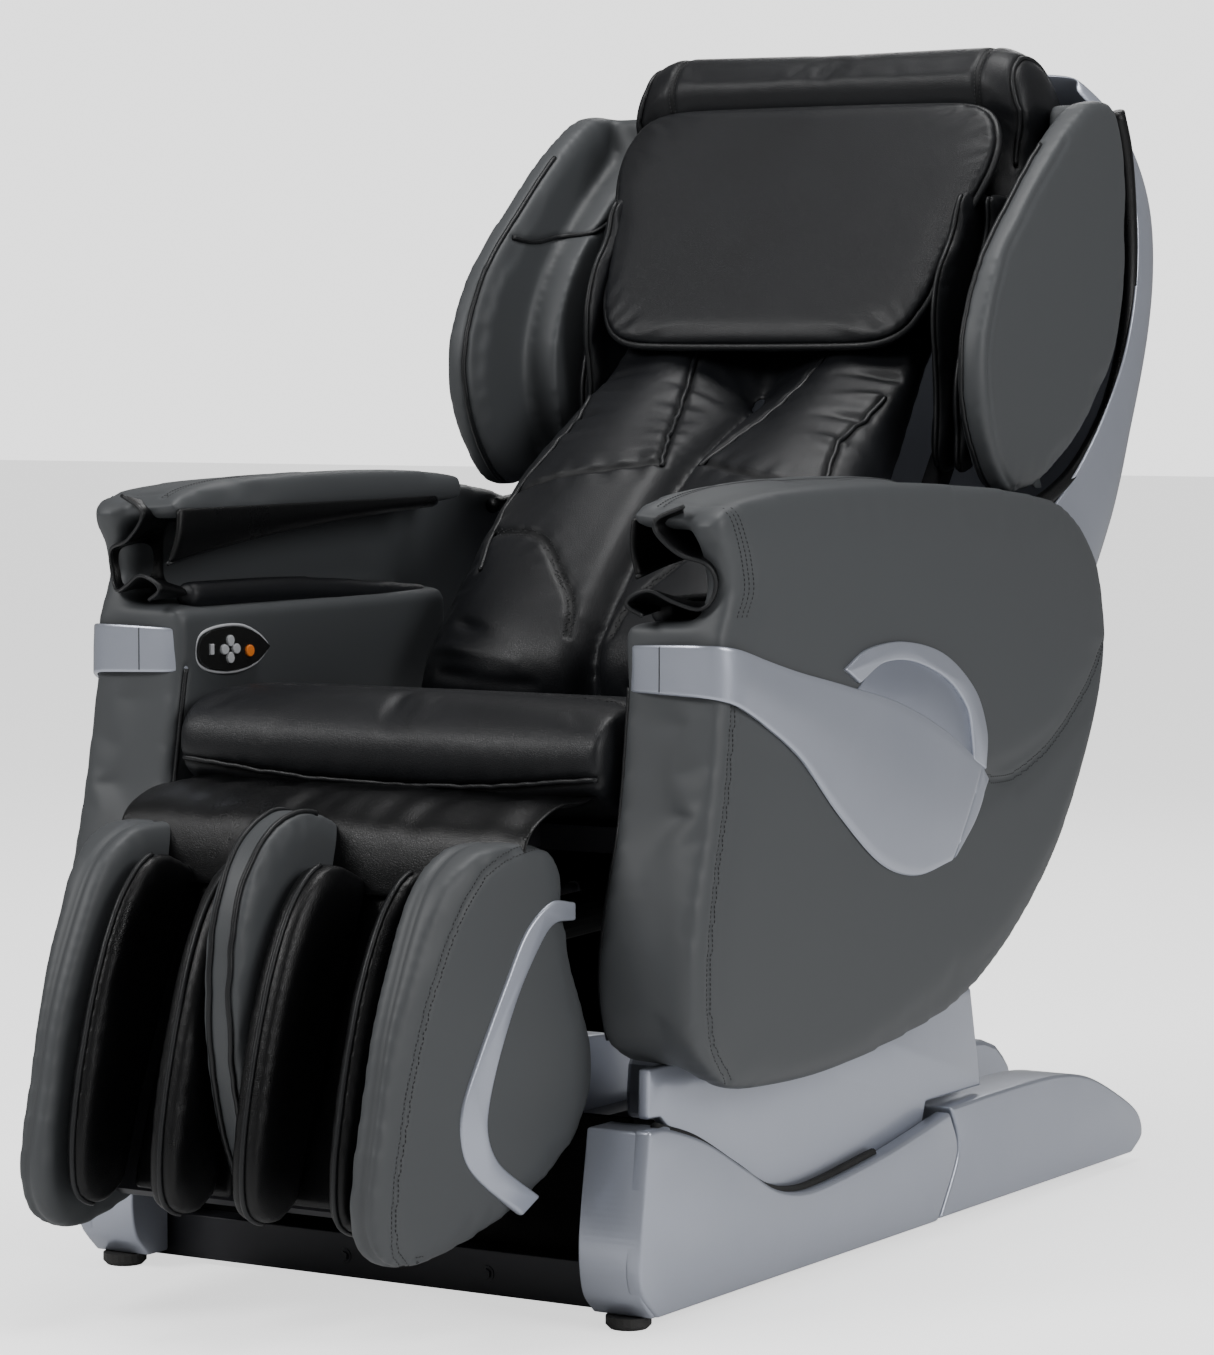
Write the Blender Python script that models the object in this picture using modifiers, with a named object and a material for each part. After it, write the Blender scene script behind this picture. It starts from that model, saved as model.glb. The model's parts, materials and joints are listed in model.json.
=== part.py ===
"""Full-body massage recliner with a zero-gravity tilt.

Metres, +Z up, the sitter faces -Y and sits with the left hand at +X. The origin is on the floor
under the middle of the chair. Side-view outlines are (y, z) points drawn for DRAWN_LENGTH and
DRAWN_HEIGHT; a point marked CORNER is sharp and the rest are smooth.
"""

import math

import bmesh
import bpy
from mathutils import Matrix, Vector

# Overall sizes
OVERALL_LENGTH = 1.42
OVERALL_HEIGHT = 1.26
OVERALL_WIDTH = 0.760
SEAT_WIDTH = 0.504
DRAWN_LENGTH = 1.42
DRAWN_HEIGHT = 1.26
DRAWN_SEAT = 0.504

# Clearances
FIT_GAP = 0.0003
SHAFT_PLAY = 0.0018
SIDE_PLAY = 0.004
ARM_TO_SEAT = 0.010
BACK_TO_ARM = 0.010
BACK_TO_COVER = 0.003
TILT_COVER_PLAY = 0.001
COVER_TO_HOUSING = 0.004
SEAT_TO_POST = 0.008
SEAT_TO_BACK_FRAME = 0.032
SEAT_TO_BACK_CUSHION = 0.047
SEAT_TO_FLAP = 0.0385
SEAT_TO_TOP_PAD = 0.004
SEAT_TO_LEG_FRAME = 0.082
ARM_TO_POD = 0.010
BUTTON_PLAY = 0.0006

# Walls and sheet thicknesses
TRIM_WALL = 0.0077
FLANK_WALL = 0.027
ROOF_WALL = 0.030
CUFF_WALL = 0.0125
PLATE_STEEL = 0.012
LUG_STEEL = 0.008
SHELL_WALL = 0.004
TILT_COVER_WALL = 0.0125
BASE_COVER_WALL = 0.0185
HOUSING_WALL = 0.066

# Base
FOOT_HEIGHT = 0.012
FOOT_RADIUS = 0.022
BASE_RAIL_WIDTH = 0.040
BASE_RAIL_HEIGHT = 0.030
CROSSBAR_HEIGHT = 0.044
CROSSBAR_DEPTH = 0.032
CROSSBAR_LIFT = 0.006
CROSSBAR_SHORT = 0.012
FOOT_INSET = 0.016
FRONT_FOOT_Y = -0.418
REAR_FOOT_Y = 0.515
WHEEL_RADIUS = 0.032
WHEEL_WIDTH = 0.026
WHEEL_LIFT = 0.002
WHEEL_BORE = 0.006
INLET_SIZE = (0.030, 0.016, 0.024)
SWITCH_SIZE = (0.016, 0.012, 0.024)
INLET_X = -0.100
SWITCH_X = -0.055
FITTING_HEIGHT = 0.074
FITTING_RECESS = 0.004
INLET_WALL = 0.004

# Shafts
TILT_SHAFT_RADIUS = 0.012
RECLINE_SHAFT_RADIUS = 0.010
LEGREST_SHAFT_RADIUS = 0.007
EYE_RADIUS = 0.012
SHAFT_END = 0.003
POST_EAR_RADIUS = 0.036
DROP_EAR_RADIUS = 0.034
SEAT_EAR_RADIUS = 0.016
LEG_EAR_RADIUS = 0.015
BACK_EAR_RADIUS = 0.026

# Actuators: tube radius, bore, rod radius
MOTOR_RADIUS = 0.022
MOTOR_BORE = 0.0085
ROD_RADIUS = 0.007
MOTOR_FLOOR = 0.012
MOTOR_STATION = 0.090
TILT_TUBE = 0.160
TILT_ROD_START = 0.020
RECLINE_TUBE = 0.200
RECLINE_ROD_START = 0.100
LEGREST_TUBE = 0.300
LEGREST_ROD_START = 0.110

# Seat carriage
SEAT_RAIL_WIDTH = 0.018
SEAT_RAIL_HEIGHT = 0.025
SEAT_RAIL_TOP = 0.465
SEAT_BAR = 0.022
SEAT_DECK_GAP = 0.0015
TILT_LUG_STATION = 0.014
TILT_CROSS = (-0.170, -0.110)
POST_SPREAD = 0.095
DROP_SPREAD = (0.045, -0.060)
ARM_FLOOR = 0.655
ARM_ROOF = 0.757
ARM_UNDERSIDE = 0.245
ROOF_SETBACK = 0.004
CUFF_SETBACK = 0.010
CUFF_ENDS = (-0.340, 0.110)
BAND_SETBACK = 0.003
BAND_LOW = 0.597
BAND_HIGH = 0.643
BAND_FACE = -0.3765

# Control panel on the inner face of the right arm
PANEL_REACH = 0.0165
PANEL_TOE = 0.0050
BUTTON_TRAVEL = 0.0015
BUTTON_PROUD = 0.0025
BUTTON_DEPTH = 0.004
PETAL_RADIUS = 0.0052
PETAL_PITCH = 0.0092
ROUND_BUTTON_RADIUS = 0.0060
BAR_BUTTON = (0.0050, 0.0110)
KEYPAD_SPOT = -0.006
ROUND_SPOT = (0.0235, -0.003)
BAR_SPOT = (-0.034, 0.001)
PETAL_NECK = 1.25
PANEL_REAR_CUT = (0.040, -0.400, -0.180, 0.5, 0.8)

# Backrest
BACK_RAIL_WIDTH = 0.022
BACK_FRAME_BACK = -0.045
BACK_FRAME_FRONT = -0.025
BACK_FRAME_FOOT = 0.100
BACK_FRAME_HEAD = 0.800
FLAP_WALL = 0.028
WING_GAP = 0.002
PILLOW_WALL = 0.030
ROLLER_RADIUS = 0.028
ROLLER_WIDTH = 0.026
ROLLER_PITCH = 0.072
SPINDLE_RADIUS = 0.006
CARRIAGE_HEIGHT = 0.210
CARRIAGE_HALF = (0.130, 0.045)
CARRIAGE_DEPTH = (0.080, 0.020)
CARRIAGE_ARM = (0.010, 0.012, 0.004)
SPINDLE_DEPTH = -0.030

# Legrest
DIVIDER_HALF = 0.022
POD_TOE_IN = 0.180
LEG_LUG_INSET = 0.032
POD_LINER = 0.0025
POD_PAD = 0.030
POD_PAD_OVERLAP = 0.008
STRIP_WALL = 0.004

# Rounded edges
SOFT_EDGE = 0.020
COVER_EDGE = 0.006
SMALL_EDGE = 0.0012

CURVE_STEPS = 2
ROUND_STEPS = 20
SMOOTH_ANGLE = math.radians(38)
FLAT_ANGLE = math.radians(1)
WELD = 0.00005

CORNER = "corner"
LEFT, RIGHT = 1, -1
SIDES = (("left", LEFT), ("right", RIGHT))


def side_point(y, z):
    """A drawn side-view point at the object's own length and height."""
    return y * OVERALL_LENGTH / DRAWN_LENGTH, z * OVERALL_HEIGHT / DRAWN_HEIGHT


# Joint axes, as side-view points
TILT_PIVOT = side_point(0.290, 0.190)
RECLINE_PIVOT = side_point(0.100, 0.460)
LEGREST_PIVOT = side_point(-0.425, 0.468)
PILLOW_PIVOT = side_point(0.470, 1.192)
TILT_MOTOR_PIVOT = side_point(-0.220, 0.076)
TILT_LUG = side_point(-0.120, 0.300)
RECLINE_MOTOR_PIVOT = side_point(-0.200, 0.370)
RECLINE_LUG = side_point(0.120, 0.340)
LEGREST_MOTOR_PIVOT = side_point(0.020, 0.360)
LEGREST_LUG = side_point(-0.395, 0.348)
BACK_TOP = side_point(0.570, 1.107)

# Distances from the middle plane
SEAT_HALF = SEAT_WIDTH / 2
BACK_FRAME_HALF = SEAT_HALF - SEAT_TO_BACK_FRAME
BACK_CUSHION_HALF = SEAT_HALF - SEAT_TO_BACK_CUSHION
FLAP_INNER = SEAT_HALF - SEAT_TO_FLAP
TOP_PAD_HALF = SEAT_HALF + SEAT_TO_TOP_PAD
LEG_FRAME_HALF = SEAT_HALF - SEAT_TO_LEG_FRAME
POD_INNER = LEG_FRAME_HALF - POD_PAD
ARM_INNER = SEAT_HALF + ARM_TO_SEAT
ARM_OUTER = OVERALL_WIDTH / 2 - TRIM_WALL - FIT_GAP
FLANK_INNER = ARM_OUTER - FLANK_WALL
BACK_HALF = FLANK_INNER - BACK_TO_ARM
COVER_OUTER = BACK_HALF - BACK_TO_COVER
COVER_INNER = COVER_OUTER - BASE_COVER_WALL
TILT_COVER_OUTER = COVER_INNER - TILT_COVER_PLAY
TILT_COVER_INNER = TILT_COVER_OUTER - TILT_COVER_WALL
HOUSING_OUTER = COVER_OUTER - COVER_TO_HOUSING
HOUSING_INNER = HOUSING_OUTER - HOUSING_WALL
BASE_HALF = HOUSING_INNER - FIT_GAP
POST_INNER = SEAT_HALF - SEAT_TO_POST
BASE_RAIL_INNER = min(BASE_HALF - BASE_RAIL_WIDTH, POST_INNER - PLATE_STEEL)
SEAT_RAIL_OUTER = POST_INNER + TILT_COVER_PLAY
DROP_OUTER = POST_INNER - SIDE_PLAY
DROP_INNER = DROP_OUTER - PLATE_STEEL
BACK_LUG_OUTER = SEAT_RAIL_OUTER - SEAT_RAIL_WIDTH - SIDE_PLAY
BACK_LUG_INNER = BACK_LUG_OUTER - PLATE_STEEL
LEG_LUG_INNER = LEG_FRAME_HALF - LEG_LUG_INSET
LEG_LUG_OUTER = LEG_LUG_INNER + LUG_STEEL
SEAT_LUG_INNER = LEG_LUG_OUTER + SIDE_PLAY
SEAT_LUG_OUTER = SEAT_LUG_INNER + LUG_STEEL
POD_OUTER = ARM_INNER - ARM_TO_POD
BASE_FLOOR = FOOT_HEIGHT + FIT_GAP
BASE_DECK = BASE_FLOOR + BASE_RAIL_HEIGHT

MATERIALS = {
    "leather": ((0.030, 0.033, 0.036), 0.45, 0.0),
    "panel_leather": ((0.050, 0.054, 0.058), 0.50, 0.0),
    "silver": ((0.36, 0.38, 0.42), 0.32, 0.55),
    "steel": ((0.020, 0.020, 0.022), 0.42, 0.6),
    "zinc": ((0.55, 0.56, 0.58), 0.30, 1.0),
    "black_gloss": ((0.010, 0.010, 0.012), 0.12, 0.0),
    "matte_plastic": ((0.030, 0.030, 0.032), 0.55, 0.0),
    "rubber": ((0.015, 0.015, 0.015), 0.80, 0.0),
    "grey_button": ((0.45, 0.46, 0.48), 0.35, 0.2),
    "orange_button": ((0.85, 0.22, 0.03), 0.35, 0.0),
}


def clear_scene():
    for thing in list(bpy.data.objects):
        bpy.data.objects.remove(thing)


def make_collection(name):
    collection = bpy.data.collections.new(name)
    bpy.context.scene.collection.children.link(collection)
    return collection


def finish_of(slot, node):
    """The node's own Principled material, in the colour of its slot."""
    color, roughness, metallic = MATERIALS[slot]
    material = bpy.data.materials.new(node)
    material.use_nodes = True
    shader = material.node_tree.nodes["Principled BSDF"]
    shader.inputs["Base Color"].default_value = (*color, 1.0)
    shader.inputs["Roughness"].default_value = roughness
    shader.inputs["Metallic"].default_value = metallic
    return material


clear_scene()
PARTS = make_collection("massage_recliner")
CUTTERS = make_collection("cutters")


def body_empty(name, pivot, x=0.0, parent=None):
    """An empty on a body's joint axis, which carries the body's pieces."""
    empty = bpy.data.objects.new(name, None)
    empty.location = (x, *pivot)
    PARTS.objects.link(empty)
    bpy.context.view_layer.update()
    if parent:
        empty.parent = parent
        empty.matrix_parent_inverse = parent.matrix_world.inverted()
    bpy.context.view_layer.update()
    return empty


BASE = body_empty("base_body", (0.0, 0.0))
SEAT = body_empty("seat_body", TILT_PIVOT, parent=BASE)
BACKREST = body_empty("backrest_body", RECLINE_PIVOT, parent=SEAT)
LEGREST = body_empty("legrest_body", LEGREST_PIVOT, parent=SEAT)
PILLOW = body_empty("pillow_body", PILLOW_PIVOT, parent=BACKREST)


def add_piece(name, mesh, body, slot):
    """A node of the part, dressed and carried by its body."""
    piece = bpy.data.objects.new(name, mesh)
    PARTS.objects.link(piece)
    mesh.materials.clear()
    mesh.materials.append(finish_of(slot, name))
    mesh.shade_smooth()
    mesh.set_sharp_from_angle(angle=SMOOTH_ANGLE)
    if body:
        piece.parent = body
        piece.matrix_parent_inverse = body.matrix_world.inverted()
    return piece


def add_helper(name, mesh):
    """A tool shape that joins or cuts a piece and isn't a node itself."""
    helper = bpy.data.objects.new(name, mesh)
    CUTTERS.objects.link(helper)
    helper.hide_render = True
    helper.display_type = "WIRE"
    return helper


def boolean(piece, helper, operation):
    modifier = piece.modifiers.new(helper.name, "BOOLEAN")
    modifier.operation = operation
    modifier.solver = "EXACT"
    modifier.object = helper


def join(piece, mesh):
    boolean(piece, add_helper(piece.name + "_joined", mesh), "UNION")


def cut(piece, mesh):
    boolean(piece, add_helper(piece.name + "_cut", mesh), "DIFFERENCE")


def soften(piece, width, steps=2):
    """Rounds the sharp edges of a piece whose faces are otherwise smooth."""
    bevel = piece.modifiers.new("rounded_edges", "BEVEL")
    bevel.width = width
    bevel.segments = steps
    bevel.limit_method = "ANGLE"
    bevel.angle_limit = SMOOTH_ANGLE
    bevel.use_clamp_overlap = True
    return piece


# Local X, Y and Z of a flat outline, for each way that it can face
SIDE_VIEW = Matrix(((0, 0, 1), (1, 0, 0), (0, 1, 0))).to_4x4()
PLAN_VIEW = Matrix.Identity(4)
FRONT_VIEW = Matrix(((1, 0, 0), (0, 0, -1), (0, 1, 0))).to_4x4()


def lean_view(foot, head):
    """Local X across the chair, Y from foot to head in the side view, Z out of the front."""
    along = (Vector(head) - Vector(foot)).normalized()
    turn = Matrix(((1, 0, 0), (0, along.x, -along.y), (0, along.y, along.x)))
    return Matrix.Translation((0, *foot)) @ turn.to_4x4()


BACK_VIEW = lean_view(RECLINE_PIVOT, BACK_TOP)


def flat_mesh(outline, low, high, view, holes=()):
    """A plate with a smooth outline, from low to high along the view's own Z."""
    curve = bpy.data.curves.new("outline", "CURVE")
    curve.dimensions = "2D"
    curve.fill_mode = "BOTH"
    curve.resolution_u = CURVE_STEPS
    curve.extrude = (high - low) / 2
    for loop in (outline, *holes):
        spline = curve.splines.new("BEZIER")
        spline.bezier_points.add(len(loop) - 1)
        spline.use_cyclic_u = True
        for point, place in zip(spline.bezier_points, loop):
            point.co = (place[0], place[1], 0)
            kind = "VECTOR" if CORNER in place else "AUTO"
            point.handle_left_type = kind
            point.handle_right_type = kind
    guide = bpy.data.objects.new("outline", curve)
    CUTTERS.objects.link(guide)
    guide.matrix_world = view @ Matrix.Translation((0, 0, (low + high) / 2))
    bpy.context.view_layer.update()
    graph = bpy.context.evaluated_depsgraph_get()
    mesh = bpy.data.meshes.new_from_object(guide.evaluated_get(graph))
    mesh.transform(guide.matrix_world)
    bpy.data.objects.remove(guide)
    tidy = bmesh.new()
    tidy.from_mesh(mesh)
    bmesh.ops.remove_doubles(tidy, verts=tidy.verts, dist=WELD)
    bmesh.ops.dissolve_limit(
        tidy, angle_limit=FLAT_ANGLE, verts=tidy.verts, edges=tidy.edges
    )
    bmesh.ops.recalc_face_normals(tidy, faces=tidy.faces)
    tidy.to_mesh(mesh)
    tidy.free()
    return mesh


def drawn(outline):
    """A side-view outline at the object's own length and height."""
    return [(*side_point(*place[:2]), *place[2:]) for place in outline]


def side_mesh(outline, inner, outer, side=LEFT):
    """A side-view plate between two distances from the middle plane."""
    low, high = sorted((side * inner, side * outer))
    return flat_mesh(drawn(outline), low, high, SIDE_VIEW)


def box_mesh(low, high, view=PLAN_VIEW):
    """A box between two corners of a view."""
    shape = bmesh.new()
    bmesh.ops.create_cube(shape, size=1)
    size = Vector(high) - Vector(low)
    bmesh.ops.scale(shape, vec=size, verts=shape.verts)
    bmesh.ops.translate(shape, vec=(Vector(high) + Vector(low)) / 2, verts=shape.verts)
    bmesh.ops.transform(shape, matrix=view, verts=shape.verts)
    mesh = bpy.data.meshes.new("box")
    shape.to_mesh(mesh)
    shape.free()
    return mesh


def rod_mesh(radius, low, high, center, view=SIDE_VIEW):
    """A round bar along a view's Z, about a point of the view."""
    shape = bmesh.new()
    place = Matrix.Translation((*center, (low + high) / 2))
    bmesh.ops.create_cone(
        shape,
        cap_ends=True,
        segments=ROUND_STEPS,
        radius1=radius,
        radius2=radius,
        depth=high - low,
        matrix=view @ place,
    )
    mesh = bpy.data.meshes.new("rod")
    shape.to_mesh(mesh)
    shape.free()
    return mesh


def turned_piece(name, profile, matrix, body, slot):
    """A piece turned about its own Z from a (radius, height) profile, down its outer side.

    A profile that starts off the axis is a ring, and its end is joined to its start.
    """
    mesh = bpy.data.meshes.new(name)
    shape = bmesh.new()
    corners = [shape.verts.new((radius, 0, height)) for radius, height in profile]
    following = corners[1:] + (corners[:1] if profile[0][0] > 0 else [])
    for first, second in zip(corners, following):
        shape.edges.new((first, second))
    shape.to_mesh(mesh)
    shape.free()
    piece = add_piece(name, mesh, None, slot)
    screw = piece.modifiers.new("turned", "SCREW")
    screw.steps = ROUND_STEPS
    screw.render_steps = ROUND_STEPS
    screw.use_merge_vertices = True
    screw.merge_threshold = WELD
    piece.matrix_world = matrix
    bpy.context.view_layer.update()
    piece.parent = body
    piece.matrix_parent_inverse = body.matrix_world.inverted()
    return piece


def across(pivot, x=0.0):
    """A turning axis across the chair through a side-view point."""
    return Matrix.Translation((x, *pivot)) @ Matrix.Rotation(math.pi / 2, 4, "Y")


def ear(pivot, radius, root):
    """The outline of a lug: round about its pivot, and cut off square at its two root points."""
    y, z = pivot
    toward = (Vector(root[0]) + Vector(root[1])) / 2 - Vector(pivot)
    back = math.atan2(toward.y, toward.x)
    if toward.cross(Vector(root[0]) - Vector(pivot)) < 0:
        root = root[::-1]
    turns = (math.radians(100), math.radians(140), math.pi, math.radians(220), math.radians(260))
    nose = [(y + radius * math.cos(back + turn), z + radius * math.sin(back + turn)) for turn in turns]
    return [(*root[0], CORNER), *nose, (*root[1], CORNER)]


def lug_mesh(pivot, radius, root, inner, outer, side=LEFT):
    low, high = sorted((side * inner, side * outer))
    return flat_mesh(ear(pivot, radius, root), low, high, SIDE_VIEW)


def rectangle(x0, y0, x1, y1):
    return [(x0, y0, CORNER), (x1, y0, CORNER), (x1, y1, CORNER), (x0, y1, CORNER)]


# Base


def make_base_frame():
    """Welded floor frame with the two posts that carry the tilt shaft."""
    front = side_point(-0.352, 0)[0]
    back = side_point(0.560, 0)[0]
    cross = side_point(-0.225, 0)[0]
    inner = BASE_RAIL_INNER
    windows = (
        rectangle(-inner, front + BASE_RAIL_WIDTH, inner, cross - BASE_RAIL_WIDTH / 2),
        rectangle(-inner, cross + BASE_RAIL_WIDTH / 2, inner, back - BASE_RAIL_WIDTH),
    )
    outline = rectangle(-BASE_HALF, front, BASE_HALF, back)
    mesh = flat_mesh(outline, BASE_FLOOR, BASE_DECK, PLAN_VIEW, windows)
    frame = add_piece("base_frame", mesh, BASE, "steel")
    y, z = TILT_PIVOT
    root_height = (BASE_FLOOR + BASE_DECK) / 2
    root = ((y + POST_SPREAD, root_height), (y - POST_SPREAD, root_height))
    for _, side in SIDES:
        outer = POST_INNER + PLATE_STEEL
        join(frame, lug_mesh(TILT_PIVOT, POST_EAR_RADIUS, root, POST_INNER, outer, side))
    cut(frame, rod_mesh(TILT_SHAFT_RADIUS + SHAFT_PLAY, -BASE_HALF, BASE_HALF, TILT_PIVOT))


def make_crossbar():
    """Front bar of the floor frame, which shows under the legrest."""
    back = side_point(-0.352, 0)[0] - FIT_GAP
    half = COVER_INNER - CROSSBAR_SHORT
    low = (-half, back - CROSSBAR_DEPTH, CROSSBAR_LIFT)
    high = (half, back, CROSSBAR_LIFT + CROSSBAR_HEIGHT)
    bar = add_piece("front_crossbar", box_mesh(low, high), BASE, "steel")
    soften(bar, SMALL_EDGE)


def make_feet():
    places = (
        ("front", COVER_INNER - FOOT_INSET, FRONT_FOOT_Y),
        ("rear", BASE_HALF - BASE_RAIL_WIDTH / 2, REAR_FOOT_Y),
    )
    for name, side in SIDES:
        for end, x, y in places:
            spot = Matrix.Translation((side * x, side_point(y, 0)[0], 0))
            low, rim = 0.0, FOOT_HEIGHT / 3
            profile = (
                (0, FOOT_HEIGHT),
                (FOOT_RADIUS, FOOT_HEIGHT),
                (FOOT_RADIUS, rim),
                (FOOT_RADIUS - rim, low),
                (0, low),
            )
            turned_piece(f"{name}_{end}_foot", profile, spot, BASE, "rubber")


def make_base_cover(name, side):
    """Lower side moulding: the V-topped skirt and the corner block in front of it."""
    floor = BASE_FLOOR * DRAWN_HEIGHT / OVERALL_HEIGHT
    skirt = (
        (-0.436, 0.192, CORNER),
        (-0.405, 0.190),
        (-0.333, 0.168),
        (-0.250, 0.128),
        (-0.187, 0.098),
        (-0.117, 0.088),
        (0.031, 0.101),
        (0.178, 0.124, CORNER),
        (0.196, 0.080),
        (0.152, floor, CORNER),
        (-0.420, floor, CORNER),
        (-0.448, 0.040),
        (-0.452, 0.083),
    )
    block = (
        (-0.436, 0.190, CORNER),
        (-0.452, 0.083),
        (-0.446, 0.036),
        (-0.425, floor, CORNER),
        (-0.392, floor, CORNER),
        (-0.392, 0.190, CORNER),
    )
    mesh = side_mesh(skirt, COVER_INNER, COVER_OUTER, side)
    cover = soften(add_piece(f"{name}_base_cover", mesh, BASE, "silver"), COVER_EDGE / 2)
    join(cover, side_mesh(block, ARM_INNER, HOUSING_OUTER, side))


def make_rear_housing(name, side):
    """Rear side moulding that runs back over the transport wheel."""
    floor = BASE_FLOOR * DRAWN_HEIGHT / OVERALL_HEIGHT
    outline = (
        (0.188, 0.127, CORNER),
        (0.300, 0.129),
        (0.435, 0.128),
        (0.520, 0.116),
        (0.600, 0.086),
        (0.655, 0.057),
        (0.667, 0.030),
        (0.640, floor, CORNER),
        (0.165, floor, CORNER),
        (0.207, 0.080),
    )
    mesh = side_mesh(outline, HOUSING_INNER, HOUSING_OUTER, side)
    soften(add_piece(f"{name}_rear_housing", mesh, BASE, "silver"), COVER_EDGE)


def make_power_cover():
    """Rounded hump over the power supply, with the inlet and the switch in its back."""
    deck = (BASE_DECK + FIT_GAP) * DRAWN_HEIGHT / OVERALL_HEIGHT
    outline = (
        (0.390, deck, CORNER),
        (0.392, 0.105),
        (0.430, 0.146),
        (0.500, 0.148),
        (0.560, 0.136),
        (0.596, 0.105, CORNER),
        (0.600, deck, CORNER),
    )
    half = BACK_FRAME_HALF - 0.025
    mesh = side_mesh(outline, -half, half)
    cover = soften(add_piece("rear_power_cover", mesh, BASE, "silver"), COVER_EDGE)
    face = side_point(0.600, 0)[0]
    height = side_point(0, FITTING_HEIGHT)[1]
    fittings = (
        ("power_inlet", INLET_SIZE, INLET_X, "matte_plastic"),
        ("power_switch", SWITCH_SIZE, SWITCH_X, "matte_plastic"),
    )
    for name, size, x, slot in fittings:
        wide, deep, tall = (value / 2 for value in size)
        spot = Vector((x, face - FITTING_RECESS - deep, height))
        pocket = Vector((wide + BUTTON_PLAY, deep + 2 * FITTING_RECESS, tall + BUTTON_PLAY))
        cut(cover, box_mesh(spot - pocket, spot + pocket + Vector((0, COVER_EDGE, 0))))
        corner = Vector((wide, deep, tall))
        body = BASE
        if name == "power_switch":
            body = body_empty("switch_body", (spot.y, spot.z), x, BASE)
        fitting = add_piece(name, box_mesh(spot - corner, spot + corner), body, slot)
        if name == "power_inlet":
            mouth = Vector((wide - INLET_WALL, deep, tall - INLET_WALL))
            out = Vector((0, INLET_WALL, 0))
            cut(fitting, box_mesh(spot - mouth + out, spot + mouth + out))
        else:
            soften(fitting, SMALL_EDGE, 1)


def make_wheel(name, side):
    """Transport wheel just clear of the floor, which rolls when the chair is tipped back."""
    pivot = (side_point(0.603, 0)[0], WHEEL_RADIUS + WHEEL_LIFT)
    x = side * (HOUSING_INNER - SIDE_PLAY - WHEEL_WIDTH / 2)
    body = body_empty(f"{name}_wheel_body", pivot, x, BASE)
    half = WHEEL_WIDTH / 2
    edge = WHEEL_WIDTH / 6
    profile = (
        (WHEEL_BORE, half),
        (WHEEL_RADIUS - edge, half),
        (WHEEL_RADIUS, half - edge),
        (WHEEL_RADIUS, edge - half),
        (WHEEL_RADIUS - edge, -half),
        (WHEEL_BORE, -half),
    )
    turned_piece(f"{name}_transport_wheel", profile, across(pivot, x), body, "rubber")


# Actuators


def actuator(name, motor_pivot, lug, x, tube, overlap, parent):
    """A tube that swings on its own pivot and the rod that slides in its bore towards a lug."""
    reach = Vector(lug) - Vector(motor_pivot)
    length = reach.length
    turn = math.atan2(reach.y, reach.x)
    swing = body_empty(f"{name}_motor_body", motor_pivot, x, parent)
    # Local Z points from the motor's pivot to the lug.
    matrix = (
        Matrix.Translation((x, *motor_pivot))
        @ Matrix.Rotation(turn, 4, "X")
        @ Matrix.Rotation(-math.pi / 2, 4, "X")
    )
    nose = MOTOR_RADIUS * 0.75
    profile = (
        (0, MOTOR_FLOOR),
        (MOTOR_BORE, MOTOR_FLOOR),
        (MOTOR_BORE, tube),
        (nose, tube),
        (MOTOR_RADIUS, tube - MOTOR_RADIUS / 2),
        (MOTOR_RADIUS, -MOTOR_RADIUS / 2),
        (nose, -MOTOR_RADIUS),
        (0, -MOTOR_RADIUS),
    )
    turned_piece(f"{name}_motor", profile, matrix, swing, "matte_plastic")
    slide = body_empty(f"{name}_rod_body", motor_pivot, x, swing)
    tip = length - SHAFT_PLAY
    rod = (
        (0, overlap),
        (ROD_RADIUS, overlap),
        (ROD_RADIUS, tip - EYE_RADIUS),
        (EYE_RADIUS * 0.75, tip - EYE_RADIUS),
        (EYE_RADIUS * 0.75, tip),
        (0, tip),
    )
    turned_piece(f"{name}_rod", rod[::-1], matrix, slide, "zinc")


# Seat carriage


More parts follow.
